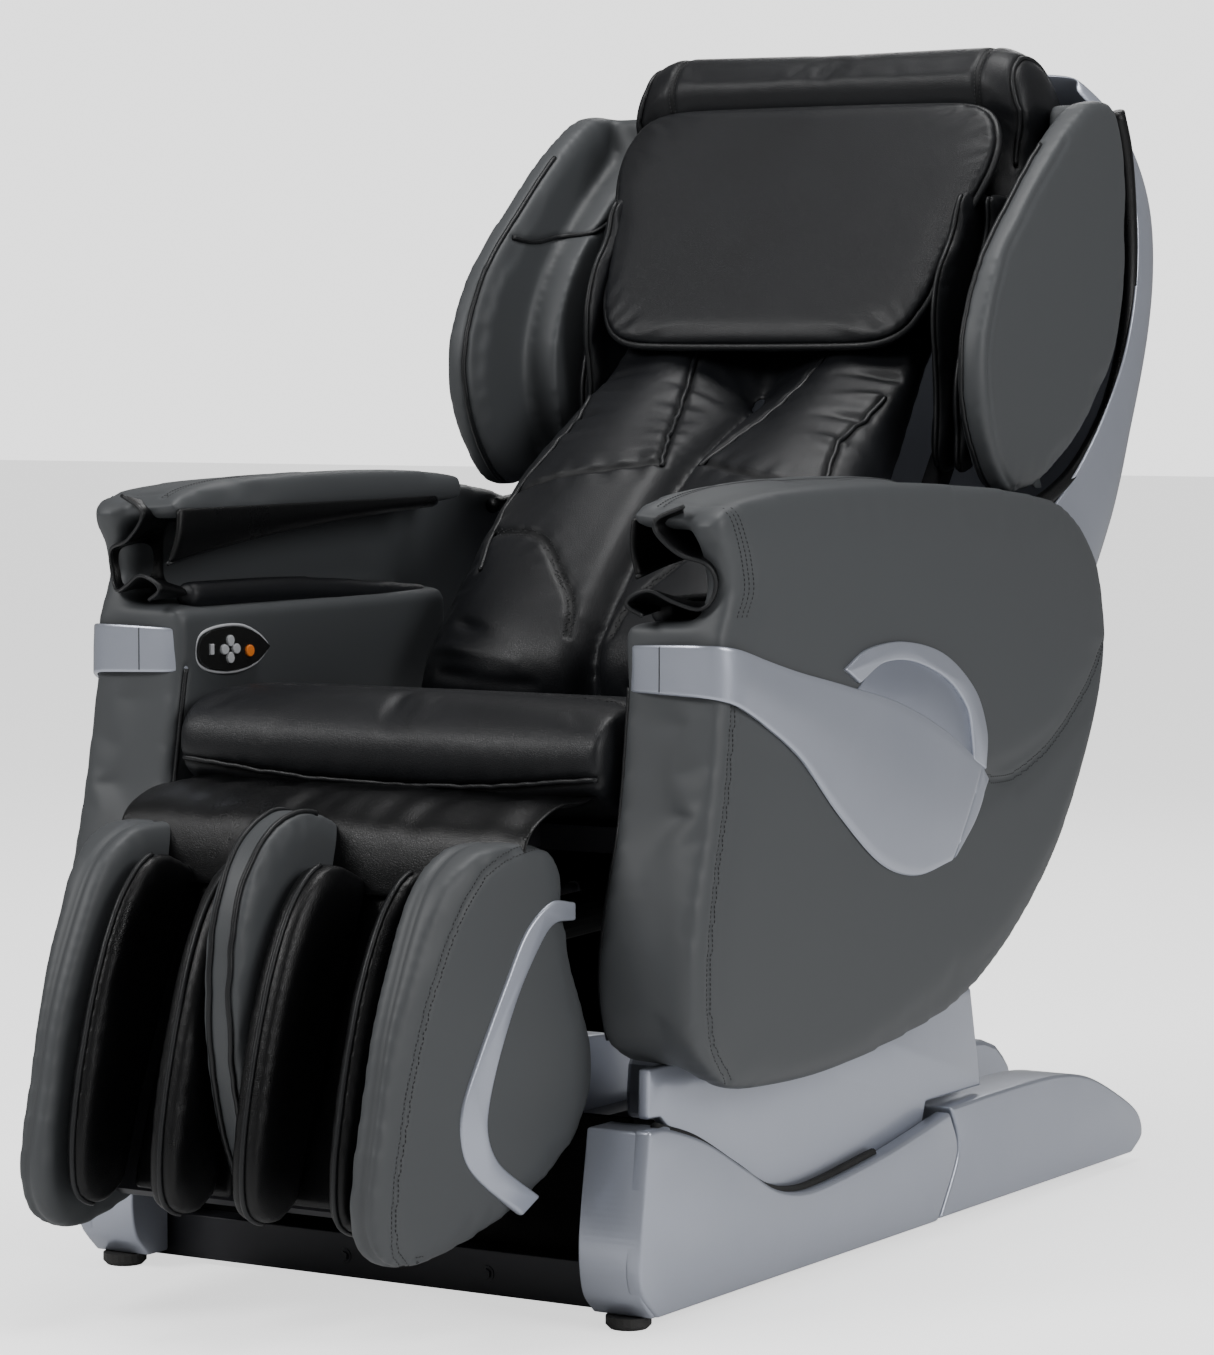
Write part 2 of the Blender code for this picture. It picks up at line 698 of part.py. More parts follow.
def make_seat_frame():
    """Seat pan frame with its drop plates, the legrest lugs and the lug of the tilt rod."""
    front = side_point(-0.352, 0)[0]
    back = side_point(0.150, 0)[0]
    rear_cross = side_point(0.0, 0)[0]
    outer = SEAT_RAIL_OUTER
    inner = outer - SEAT_RAIL_WIDTH
    bar = SEAT_BAR
    reach = ARM_INNER - FIT_GAP
    top = side_point(0, SEAT_RAIL_TOP)[1]
    low = top - SEAT_RAIL_HEIGHT
    outline = [
        (-reach, front, CORNER),
        (reach, front, CORNER),
        (reach, front + bar, CORNER),
        (outer, front + bar, CORNER),
        (outer, back, CORNER),
        (inner, back, CORNER),
        (inner, rear_cross + bar, CORNER),
        (-inner, rear_cross + bar, CORNER),
        (-inner, back, CORNER),
        (-outer, back, CORNER),
        (-outer, front + bar, CORNER),
        (-reach, front + bar, CORNER),
    ]
    window = rectangle(-inner, front + bar, inner, rear_cross)
    mesh = flat_mesh(outline, low, top, PLAN_VIEW, (window,))
    frame = add_piece("seat_frame", mesh, SEAT, "steel")
    middle = (low + top) / 2
    drop_root = [(RECLINE_PIVOT[0] + spread, middle) for spread in DROP_SPREAD]
    leg_root = ((front + bar / 2, low + SMALL_EDGE), (front + bar / 2, top - SMALL_EDGE))
    tilt_root = [(rear_cross + place, middle) for place in TILT_CROSS[::-1]]
    for _, side in SIDES:
        join(frame, lug_mesh(TILT_PIVOT, DROP_EAR_RADIUS, drop_root, DROP_INNER, DROP_OUTER, side))
        leg_lug = lug_mesh(LEGREST_PIVOT, SEAT_EAR_RADIUS, leg_root, SEAT_LUG_INNER, SEAT_LUG_OUTER, side)
        join(frame, leg_lug)
        boss = rod_mesh(BACK_EAR_RADIUS, *sorted((side * inner, side * outer)), RECLINE_PIVOT)
        join(frame, boss)
    cross_low = (-inner - SMALL_EDGE, rear_cross + TILT_CROSS[0], low + SMALL_EDGE)
    cross_high = (inner + SMALL_EDGE, rear_cross + TILT_CROSS[1], top - SMALL_EDGE)
    join(frame, box_mesh(cross_low, cross_high))
    tilt_lug = lug_mesh(TILT_LUG, EYE_RADIUS, tilt_root, TILT_LUG_STATION, TILT_LUG_STATION + LUG_STEEL)
    join(frame, tilt_lug)
    shafts = (
        (TILT_SHAFT_RADIUS, TILT_PIVOT),
        (RECLINE_SHAFT_RADIUS, RECLINE_PIVOT),
        (LEGREST_SHAFT_RADIUS, LEGREST_PIVOT),
    )
    for radius, pivot in shafts:
        cut(frame, rod_mesh(radius + SHAFT_PLAY, -ARM_INNER, ARM_INNER, pivot))


def make_shafts():
    ends = (
        ("tilt_shaft", TILT_SHAFT_RADIUS, TILT_PIVOT, POST_INNER + PLATE_STEEL + SHAFT_END, BASE),
        ("recline_shaft", RECLINE_SHAFT_RADIUS, RECLINE_PIVOT, SEAT_RAIL_OUTER + SHAFT_END, SEAT),
        ("legrest_shaft", LEGREST_SHAFT_RADIUS, LEGREST_PIVOT, SEAT_LUG_OUTER + SHAFT_END, SEAT),
    )
    for name, radius, pivot, half, body in ends:
        soften(add_piece(name, rod_mesh(radius, -half, half, pivot), body, "zinc"), SMALL_EDGE, 1)


def make_seat_cushion():
    deck = SEAT_RAIL_TOP + SEAT_DECK_GAP
    outline = (
        (-0.372, 0.492),
        (-0.396, 0.510),
        (-0.397, 0.545),
        (-0.372, 0.572),
        (-0.330, 0.582),
        (-0.240, 0.577),
        (-0.050, 0.545),
        (0.055, 0.524, CORNER),
        (0.062, deck, CORNER),
        (-0.345, deck, CORNER),
    )
    mesh = side_mesh(outline, -SEAT_HALF, SEAT_HALF)
    soften(add_piece("seat_cushion", mesh, SEAT, "leather"), SOFT_EDGE)


ARM_FRONT = (
    (-0.372, 0.650),
    (-0.372, 0.600),
    (-0.392, 0.480),
    (-0.415, 0.400),
    (-0.424, 0.330),
    (-0.412, 0.268),
)


def make_arm_shell(name, side):
    """Padded outer shell of the arm: the flank and the roof over the arm channel."""
    flank = (
        *ARM_FRONT,
        (-0.360, 0.226),
        (-0.260, 0.214),
        (-0.130, 0.211),
        (0.030, 0.227),
        (0.130, 0.246),
        (0.215, 0.281),
        (0.305, 0.338),
        (0.377, 0.406),
        (0.438, 0.499),
        (0.470, 0.585),
        (0.472, 0.650),
        (0.447, 0.706),
        (0.372, 0.758),
        (0.250, 0.778),
        (0.120, 0.787),
        (-0.030, 0.793),
        (-0.200, 0.790),
        (-0.300, 0.775),
        (-0.355, 0.730),
    )
    roof_low = ARM_ROOF
    roof = (
        (-0.325, 0.761),
        (-0.300, 0.774),
        (-0.200, 0.789),
        (-0.030, 0.792),
        (0.120, 0.786),
        (0.165, 0.780, CORNER),
        (0.165, roof_low, CORNER),
        (-0.320, roof_low, CORNER),
    )
    mesh = side_mesh(flank, FLANK_INNER, ARM_OUTER, side)
    shell = soften(add_piece(f"{name}_arm_shell", mesh, SEAT, "panel_leather"), SOFT_EDGE / 2, 3)
    join(shell, side_mesh(roof, ARM_INNER + ROOF_SETBACK, FLANK_INNER + FLANK_WALL / 2, side))


def make_armrest(name, side):
    """Inner body of the arm: the front post, the seat-side wall and the arm channel's floor."""
    outline = (
        (-0.368, ARM_FLOOR, CORNER),
        *ARM_FRONT[1:],
        (-0.375, ARM_UNDERSIDE, CORNER),
        (0.080, ARM_UNDERSIDE, CORNER),
        (0.118, 0.300),
        (0.122, 0.450),
        (0.120, ARM_FLOOR, CORNER),
    )
    mesh = side_mesh(outline, ARM_INNER, FLANK_INNER - FIT_GAP, side)
    soften(add_piece(f"{name}_armrest", mesh, SEAT, "leather"), SMALL_EDGE, 1)


def make_cuff_pad(name, side):
    """Airbag sleeve that lines the arm channel, open towards the seat and at the front."""
    low = side_point(0, ARM_FLOOR)[1] + FIT_GAP
    high = side_point(0, ARM_ROOF)[1] - FIT_GAP
    outer = FLANK_INNER - FIT_GAP
    inner = ARM_INNER + CUFF_SETBACK
    section = [
        (inner, low),
        (outer, low),
        (outer, high),
        (inner, high),
        (inner, high - CUFF_WALL),
        (outer - CUFF_WALL, high - CUFF_WALL),
        (outer - CUFF_WALL, low + CUFF_WALL),
        (inner, low + CUFF_WALL),
    ]
    outline = [(side * x, z, CORNER) for x, z in section]
    front, back = (side_point(y, 0)[0] for y in CUFF_ENDS)
    mesh = flat_mesh(outline, -back, -front, FRONT_VIEW)
    soften(add_piece(f"{name}_cuff_pad", mesh, SEAT, "leather"), CUFF_WALL / 4, 1)


def make_arm_trim(name, side):
    """Silver band: across the arm's front, then back along the flank to the half-moon plate."""
    plate = (
        (-0.387, BAND_HIGH, CORNER),
        (-0.300, 0.627),
        (-0.233, 0.612),
        (-0.150, 0.597, CORNER),
        (-0.105, 0.621),
        (-0.030, 0.633),
        (0.060, 0.617),
        (0.135, 0.575),
        (0.166, 0.520),
        (0.164, 0.470, CORNER),
        (0.145, 0.440),
        (0.090, 0.404),
        (0.035, 0.389),
        (-0.015, 0.392),
        (-0.068, 0.414),
        (-0.152, 0.468),
        (-0.232, 0.528),
        (-0.311, 0.569),
        (-0.387, BAND_LOW, CORNER),
    )
    inner = ARM_OUTER + FIT_GAP
    mesh = side_mesh(plate, inner, inner + TRIM_WALL, side)
    trim = add_piece(f"{name}_arm_trim", mesh, SEAT, "silver")
    band = (
        (-0.388, BAND_LOW, CORNER),
        (-0.388, BAND_HIGH, CORNER),
        (BAND_FACE, BAND_HIGH, CORNER),
        (BAND_FACE, BAND_LOW, CORNER),
    )
    join(trim, side_mesh(band, ARM_INNER + BAND_SETBACK, inner + TRIM_WALL / 2, side))


def make_tilt_cover(name, side):
    """Upper side moulding, which lifts with the seat out of the V of the lower one."""
    top = ARM_UNDERSIDE * 0.998
    outline = (
        (-0.406, top, CORNER),
        (-0.407, 0.197, CORNER),
        (-0.384, 0.196, CORNER),
        (-0.320, 0.145),
        (-0.190, 0.082),
        (-0.117, 0.076),
        (0.031, 0.090),
        (0.150, 0.110, CORNER),
        (0.160, 0.136, CORNER),
        (0.287, 0.136, CORNER),
        (0.262, top, CORNER),
    )
    mesh = side_mesh(outline, TILT_COVER_INNER, TILT_COVER_OUTER, side)
    soften(add_piece(f"{name}_tilt_cover", mesh, SEAT, "silver"), SMALL_EDGE, 1)


# Control panel


def panel_view():
    """Local X towards the back of the chair, Y up, Z out of the panel's sloping face."""
    front = Vector((-ARM_INNER + FIT_GAP + PANEL_TOE, side_point(-0.345, 0)[0], 0))
    back = Vector((-ARM_INNER + FIT_GAP + PANEL_REACH, side_point(-0.235, 0)[0], 0))
    along = (back - front).normalized()
    up = Vector((0, 0, 1))
    middle = (front + back) / 2 + up * side_point(0, 0.617)[1]
    turn = Matrix((along, up, along.cross(up))).transposed()
    return Matrix.Translation(middle) @ turn.to_4x4()


PANEL_VIEW = panel_view()
BUTTONS = (
    ("keypad_up", 0.000, PETAL_PITCH, "grey_button"),
    ("keypad_down", 0.000, -PETAL_PITCH, "grey_button"),
    ("keypad_front", -PETAL_PITCH, 0.000, "grey_button"),
    ("keypad_back", PETAL_PITCH, 0.000, "grey_button"),
)


def press_body(name, x, y):
    spot = PANEL_VIEW @ Vector((x, y, 0))
    return body_empty(f"{name}_body", (spot.y, spot.z), spot.x, SEAT)


def petal_outline(x, y, grow):
    """A keypad petal: round at its outer end and drawn in towards the middle of the pad."""
    away = math.atan2(y, x)
    radius = PETAL_RADIUS + grow
    turns = (-120, -60, 0, 60, 120)
    angles = [away + math.radians(turn) for turn in turns]
    rim = [(x + radius * math.cos(angle), y + radius * math.sin(angle)) for angle in angles]
    tip = PETAL_PITCH - PETAL_RADIUS * PETAL_NECK - grow
    return [*rim, (tip * math.cos(away), tip * math.sin(away))]


def make_control_panel():
    """Glossy pod on the arm's inner face, with a pocket for each button."""
    oval = [
        (-0.052, 0.000),
        (-0.046, 0.014),
        (-0.020, 0.021),
        (0.015, 0.021),
        (0.040, 0.012),
        (0.056, 0.000, CORNER),
        (0.038, -0.014),
        (0.010, -0.021),
        (-0.025, -0.020),
        (-0.048, -0.012),
    ]
    mesh = flat_mesh(oval, -PANEL_REACH, 0, PANEL_VIEW)
    panel = add_piece("control_panel", mesh, SEAT, "black_gloss")
    behind = -ARM_INNER + FIT_GAP
    depth, front, back, low, high = PANEL_REAR_CUT
    front, back = (side_point(y, 0)[0] for y in (front, back))
    cut(panel, box_mesh((behind - depth, front, low), (behind, back, high)))
    deep = -BUTTON_DEPTH - BUTTON_TRAVEL - BUTTON_PLAY
    proud = BUTTON_PROUD
    for name, x, y, slot in BUTTONS:
        middle = KEYPAD_SPOT
        petal = [(px + middle, py) for px, py in petal_outline(x, y, 0)]
        pocket = [(px + middle, py) for px, py in petal_outline(x, y, BUTTON_PLAY)]
        cut(panel, flat_mesh(pocket, deep, proud, PANEL_VIEW))
        body = press_body(name, x + middle, y)
        button = add_piece(name, flat_mesh(petal, -BUTTON_DEPTH, proud, PANEL_VIEW), body, slot)
        soften(button, SMALL_EDGE / 2, 1)
    cut(panel, rod_mesh(ROUND_BUTTON_RADIUS + BUTTON_PLAY, deep, proud, ROUND_SPOT, PANEL_VIEW))
    mesh = rod_mesh(ROUND_BUTTON_RADIUS, -BUTTON_DEPTH, proud, ROUND_SPOT, PANEL_VIEW)
    power = add_piece("power_button", mesh, press_body("power_button", *ROUND_SPOT), "orange_button")
    soften(power, SMALL_EDGE / 2, 1)
    wide, tall = (value / 2 for value in BAR_BUTTON)
    x, y = BAR_SPOT
    low = Vector((x - wide, y - tall, -BUTTON_DEPTH))
    high = Vector((x + wide, y + tall, proud))
    grow = Vector((BUTTON_PLAY, BUTTON_PLAY, 0))
    deeper = Vector((0, 0, -BUTTON_TRAVEL - BUTTON_PLAY))
    cut(panel, box_mesh(low - grow + deeper, high + grow, PANEL_VIEW))
    mesh = box_mesh(low, high, PANEL_VIEW)
    bar = add_piece("mode_button", mesh, press_body("mode_button", *BAR_SPOT), "grey_button")
    soften(bar, SMALL_EDGE / 2, 1)


# Backrest


def make_back_frame():
    """Ladder frame of the back with its pivot lugs and the lug of the recline rod."""
    inner = BACK_FRAME_HALF - BACK_RAIL_WIDTH
    foot, head = BACK_FRAME_FOOT, BACK_FRAME_HEAD
    outline = rectangle(-BACK_FRAME_HALF, foot, BACK_FRAME_HALF, head)
    window = rectangle(-inner, foot + BACK_RAIL_WIDTH, inner, head - BACK_RAIL_WIDTH)
    mesh = flat_mesh(outline, BACK_FRAME_BACK, BACK_FRAME_FRONT, BACK_VIEW, (window,))
    frame = add_piece("back_frame", mesh, BACKREST, "steel")
    middle = (BACK_FRAME_BACK + BACK_FRAME_FRONT) / 2
    spread = (BACK_FRAME_FRONT - BACK_FRAME_BACK) * 0.35
    height = foot + BACK_RAIL_WIDTH / 2
    spots = [BACK_VIEW @ Vector((0, height, middle + step)) for step in (-spread, spread)]
    root = [(spot.y, spot.z) for spot in spots]
    for _, side in SIDES:
        join(frame, lug_mesh(RECLINE_PIVOT, BACK_EAR_RADIUS, root, BACK_LUG_INNER, BACK_LUG_OUTER, side))
    rod_lug = -MOTOR_STATION + EYE_RADIUS
    join(frame, lug_mesh(RECLINE_LUG, EYE_RADIUS, root, rod_lug, rod_lug + LUG_STEEL))
    cut(frame, rod_mesh(RECLINE_SHAFT_RADIUS + SHAFT_PLAY, -SEAT_HALF, SEAT_HALF, RECLINE_PIVOT))


# Front edge, rear middle and half-width of the back shell, from its foot to its head
SHELL_ROWS = (
    (0.250, 0.560, 0.420, 0.470, 1.000),
    (0.300, 0.655, 0.530, 0.560, 1.000),
    (0.360, 0.725, 0.600, 0.640, 1.000),
    (0.460, 0.790, 0.645, 0.730, 1.000),
    (0.530, 0.850, 0.672, 0.830, 1.000),
    (0.585, 0.920, 0.700, 0.930, 1.000),
    (0.613, 1.000, 0.710, 1.010, 1.000),
    (0.619, 1.075, 0.702, 1.085, 0.990),
    (0.611, 1.135, 0.680, 1.150, 0.950),
    (0.607, 1.180, 0.652, 1.200, 0.880),
    (0.606, 1.213, 0.627, 1.236, 0.780),
)
SHELL_COLUMNS = 14
SHELL_SQUARENESS = 0.42


def make_back_shell():
    """Silver rear shell: U-shaped sections lofted from the foot of the back to its head."""
    shape = bmesh.new()
    rows = []
    for front_y, front_z, rear_y, rear_z, width in SHELL_ROWS:
        front = Vector(side_point(front_y, front_z))
        rear = Vector(side_point(rear_y, rear_z))
        row = []
        for column in range(SHELL_COLUMNS + 1):
            turn = math.pi * (column / SHELL_COLUMNS - 0.5)
            sweep = math.copysign(abs(math.sin(turn)) ** SHELL_SQUARENESS, math.sin(turn))
            depth = abs(math.cos(turn)) ** SHELL_SQUARENESS if abs(turn) < math.pi / 2 else 0.0
            spot = front.lerp(rear, depth)
            row.append(shape.verts.new((BACK_HALF * width * sweep, spot.x, spot.y)))
        rows.append(row)
    for lower, upper in zip(rows, rows[1:]):
        for column in range(SHELL_COLUMNS):
            shape.faces.new((lower[column], lower[column + 1], upper[column + 1], upper[column]))
    mesh = bpy.data.meshes.new("back_shell")
    shape.to_mesh(mesh)
    shape.free()
    shell = add_piece("back_shell", mesh, BACKREST, "silver")
    wall = shell.modifiers.new("wall", "SOLIDIFY")
    wall.thickness = SHELL_WALL
    wall.offset = -1


def make_back_cushion():
    outline = (
        (-0.024, 0.540, CORNER),
        (-0.030, 0.578),
        (0.000, 0.632),
        (0.090, 0.725),
        (0.170, 0.792),
        (0.265, 0.850),
        (0.345, 0.900),
        (0.397, 0.952),
        (0.428, 1.000),
        (0.450, 1.040, CORNER),
        (0.486, 1.025, CORNER),
        (0.330, 0.810),
        (0.152, 0.566, CORNER),
        (0.110, 0.540, CORNER),
    )
    mesh = side_mesh(outline, -BACK_CUSHION_HALF, BACK_CUSHION_HALF)
    soften(add_piece("back_cushion", mesh, BACKREST, "leather"), SOFT_EDGE / 2)


def make_wing(name, side):
    """Padded shoulder wing beside the back."""
    outline = (
        (0.560, 1.195),
        (0.500, 1.196),
        (0.420, 1.152),
        (0.330, 1.088),
        (0.250, 1.022),
        (0.200, 0.955),
        (0.184, 0.900),
        (0.196, 0.842),
        (0.238, 0.788),
        (0.300, 0.767),
        (0.390, 0.785),
        (0.485, 0.842),
        (0.550, 0.910),
        (0.583, 0.985),
        (0.590, 1.060),
        (0.588, 1.140),
    )
    inner = TOP_PAD_HALF + BACK_TO_COVER
    mesh = side_mesh(outline, inner, BACK_HALF - WING_GAP, side)
    soften(add_piece(f"{name}_shoulder_wing", mesh, BACKREST, "panel_leather"), SOFT_EDGE)


def make_shoulder_flap(name, side):
    """Airbag leaf that stands between the back cushion and the wing."""
    outline = (
        (0.388, 1.045),
        (0.348, 1.003),
        (0.322, 0.950),
        (0.328, 0.870),
        (0.343, 0.795, CORNER),
        (0.360, 0.799, CORNER),
        (0.436, 0.903),
        (0.492, 0.985),
        (0.500, 1.032, CORNER),
    )
    mesh = side_mesh(outline, FLAP_INNER, FLAP_INNER + FLAP_WALL, side)
    soften(add_piece(f"{name}_shoulder_flap", mesh, BACKREST, "leather"), SOFT_EDGE / 3)


def make_top_pad():
    outline = (
        (0.465, 1.058, CORNER),
        (0.489, 1.120),
        (0.510, 1.168),
        (0.504, 1.192),
        (0.488, 1.212),
        (0.492, 1.243),
        (0.525, 1.259),
        (0.566, 1.253),
        (0.592, 1.225),
        (0.590, 1.160),
        (0.540, 1.090),
        (0.505, 1.050, CORNER),
    )
    mesh = side_mesh(outline, -TOP_PAD_HALF, TOP_PAD_HALF)
    soften(add_piece("top_pad", mesh, BACKREST, "leather"), SOFT_EDGE / 2)


def make_pillow():
    """Headrest pillow, hung by its top edge so that it flips up over the back."""
    foot = side_point(0.330, 0.940)
    head = side_point(0.474, 1.184)
    length = (Vector(head) - Vector(foot)).length
    narrower = (DRAWN_SEAT - SEAT_WIDTH) / 2
    right = (
        (0.150, 0.000),
        (0.182, 0.018),
        (0.194, 0.060),
        (0.226, length - 0.055),
        (0.222, length - 0.014),
        (0.190, length),
    )
    right = [(x - narrower, y) for x, y in right]
    outline = [*right, *((-x, y) for x, y in right[::-1])]
    mesh = flat_mesh(outline, -PILLOW_WALL, 0, lean_view(foot, head))
    soften(add_piece("headrest_pillow", mesh, PILLOW, "leather"), PILLOW_WALL / 3)


def make_massage_carriage():
    """Carriage that climbs behind the frame, and its spindle with the two kneading rollers."""
    height = CARRIAGE_HEIGHT
    body = body_empty("carriage_body", tuple((BACK_VIEW @ Vector((0, height, 0)))[1:]), 0, BACKREST)
    back, front = (BACK_FRAME_BACK - depth for depth in CARRIAGE_DEPTH)
    half, rise = CARRIAGE_HALF
    low = (-half, height - rise, back)
    high = (half, height + rise, front)
    carriage = add_piece("massage_carriage", box_mesh(low, high, BACK_VIEW), body, "matte_plastic")
    axle = Vector((0, height, SPINDLE_DEPTH))
    reach = ROLLER_PITCH - ROLLER_WIDTH / 2 - SIDE_PLAY
    wall, eye, bite = CARRIAGE_ARM
    for _, side in SIDES:
        inner, outer = sorted((side * (reach - wall), side * reach))
        near_corner = (inner, height - eye, front - bite)
        far_corner = (outer, height + eye, axle.z + eye)
        join(carriage, box_mesh(near_corner, far_corner, BACK_VIEW))
    spot = BACK_VIEW @ axle
    pivot = (spot.y, spot.z)
    cut(carriage, rod_mesh(SPINDLE_RADIUS + SHAFT_PLAY, -reach - wall, reach + wall, pivot))
    spin = body_empty("spindle_body", pivot, 0, body)
    half = ROLLER_PITCH + ROLLER_WIDTH / 2
    near = ROLLER_PITCH - ROLLER_WIDTH / 2
    edge = ROLLER_WIDTH / 4
    profile = (
        (0, half),
        (ROLLER_RADIUS - edge, half),
        (ROLLER_RADIUS, half - edge),
        (ROLLER_RADIUS, near + edge),
        (ROLLER_RADIUS - edge, near),
        (SPINDLE_RADIUS, near),
        (SPINDLE_RADIUS, -near),
        (ROLLER_RADIUS - edge, -near),
        (ROLLER_RADIUS, -near - edge),
        (ROLLER_RADIUS, edge - half),
        (ROLLER_RADIUS - edge, -half),
        (0, -half),
    )
    turned_piece("kneading_spindle", profile, across(pivot), spin, "rubber")


# Legrest


def make_legrest_frame():
    """Back plate of the calf channels with its pivot lugs and the lug of the legrest rod."""
    plate = (
        (-0.440, 0.447, CORNER),
        (-0.458, 0.452, CORNER),
        (-0.602, 0.118, CORNER),
        (-0.588, 0.110, CORNER),
    )
    mesh = side_mesh(plate, -LEG_FRAME_HALF, LEG_FRAME_HALF)
    frame = add_piece("legrest_frame", mesh, LEGREST, "steel")
    root = (side_point(-0.458, 0.432), side_point(-0.446, 0.432))
    for _, side in SIDES:
        join(frame, lug_mesh(LEGREST_PIVOT, LEG_EAR_RADIUS, root, LEG_LUG_INNER, LEG_LUG_OUTER, side))
    rod_root = (side_point(-0.488, 0.370), side_point(-0.512, 0.315))
    station = MOTOR_STATION - EYE_RADIUS - LUG_STEEL
    join(frame, lug_mesh(LEGREST_LUG, EYE_RADIUS, rod_root, station, station + LUG_STEEL))
    cut(frame, rod_mesh(LEGREST_SHAFT_RADIUS + SHAFT_PLAY, -LEG_FRAME_HALF, LEG_FRAME_HALF, LEGREST_PIVOT))


POD_OUTLINE = (
    (-0.470, 0.460),
    (-0.510, 0.466),
    (-0.555, 0.463),
    (-0.600, 0.440),
    (-0.630, 0.400),
    (-0.673, 0.310),
    (-0.696, 0.225),
    (-0.710, 0.160),
    (-0.704, 0.112),
    (-0.668, 0.084),
    (-0.605, 0.086),
    (-0.507, 0.117),
    (-0.440, 0.160),
    (-0.402, 0.210),
    (-0.396, 0.250),
    (-0.409, 0.292),
    (-0.432, 0.348),
    (-0.441, 0.400),
    (-0.448, 0.440),
)


def toe_in(mesh, side):
    """Draws the outer face of a calf pod in towards its front edge."""
    start = side_point(-0.420, 0)[0]
    for vertex in mesh.vertices:
        reach = max(0.0, start - vertex.co.y)
        if side * vertex.co.x > POD_OUTER - SOFT_EDGE:
            vertex.co.x -= side * POD_TOE_IN * reach


def make_calf_pod(name, side):
    """Padded side wall of a calf channel, with its silver accent let into the outer face."""
    inner = LEG_FRAME_HALF + POD_LINER
    mesh = side_mesh(POD_OUTLINE, inner, POD_OUTER, side)
    toe_in(mesh, side)
    pod = soften(add_piece(f"{name}_calf_pod", mesh, LEGREST, "leather"), SOFT_EDGE / 2)
    pad = (
        (-0.470, 0.436, CORNER),
        (-0.545, 0.447),
        (-0.590, 0.420),
        (-0.625, 0.370),
        (-0.660, 0.280),
        (-0.682, 0.190),
        (-0.686, 0.140),
        (-0.655, 0.105),
        (-0.612, 0.112, CORNER),
    )
    join(pod, side_mesh(pad, POD_INNER, inner + POD_PAD_OVERLAP, side))
    strip = (
        (-0.441, 0.403, CORNER),
        (-0.473, 0.406),
        (-0.507, 0.382),
        (-0.536, 0.335),
        (-0.572, 0.270),
        (-0.594, 0.222),
        (-0.590, 0.180),
        (-0.566, 0.152),
        (-0.514, 0.116, CORNER),
        (-0.490, 0.131, CORNER),
        (-0.545, 0.170),
        (-0.560, 0.205),
        (-0.549, 0.254),
        (-0.520, 0.320),
        (-0.490, 0.366),
        (-0.470, 0.385),
        (-0.441, 0.386, CORNER),
    )
    face = POD_OUTER + FIT_GAP
    mesh = side_mesh(strip, face, face + STRIP_WALL, side)
    toe_in(mesh, side)
    add_piece(f"{name}_calf_trim", mesh, LEGREST, "silver")


def make_divider():
    outline = (
        (-0.464, 0.450, CORNER),
        (-0.505, 0.478),
        (-0.560, 0.486),
        (-0.618, 0.456),
        (-0.654, 0.390),
        (-0.662, 0.290),
        (-0.645, 0.200),
        (-0.617, 0.135, CORNER),
        (-0.600, 0.132, CORNER),
    )
    mesh = side_mesh(outline, -DIVIDER_HALF, DIVIDER_HALF)
    soften(add_piece("calf_divider", mesh, LEGREST, "leather"), SOFT_EDGE / 3)


def main():
    make_base_frame()
    make_crossbar()
    make_feet()
    make_power_cover()
    actuator("tilt", TILT_MOTOR_PIVOT, TILT_LUG, 0.0, TILT_TUBE, TILT_ROD_START, BASE)
    make_seat_frame()
    make_shafts()
    make_seat_cushion()
    for name, side in SIDES:
        make_base_cover(name, side)
        make_rear_housing(name, side)
        make_wheel(name, side)
        make_arm_shell(name, side)
        make_armrest(name, side)
        make_cuff_pad(name, side)
        make_arm_trim(name, side)
        make_tilt_cover(name, side)
        make_wing(name, side)
        make_shoulder_flap(name, side)
        make_calf_pod(name, side)
    make_control_panel()
    station = MOTOR_STATION
    actuator("recline", RECLINE_MOTOR_PIVOT, RECLINE_LUG, -station, RECLINE_TUBE, RECLINE_ROD_START, SEAT)
    actuator("legrest", LEGREST_MOTOR_PIVOT, LEGREST_LUG, station, LEGREST_TUBE, LEGREST_ROD_START, SEAT)
    make_back_frame()
    make_back_shell()
    make_back_cushion()
    make_top_pad()
    make_pillow()
    make_massage_carriage()
    make_legrest_frame()
    make_divider()


main()
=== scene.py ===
"""Looks of a full-body massage recliner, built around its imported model.

Metres, +Z up. The sitter faces -Y with the left hand at +X, and the floor is at z = 0. Each sub-assembly
is a class: its fields are the sizes that a maker would set, and its methods build the pieces and dress
them. Side-view outlines are (y, z) points, and a point marked CORNER is sharp while the rest lie on a
smooth curve.
"""

import json
import logging
import math
from collections.abc import Callable, Sequence
from dataclasses import dataclass, field
from enum import Enum

import bpy
import numpy as np
from mathutils import Matrix, Vector, noise
from mathutils.bvhtree import BVHTree


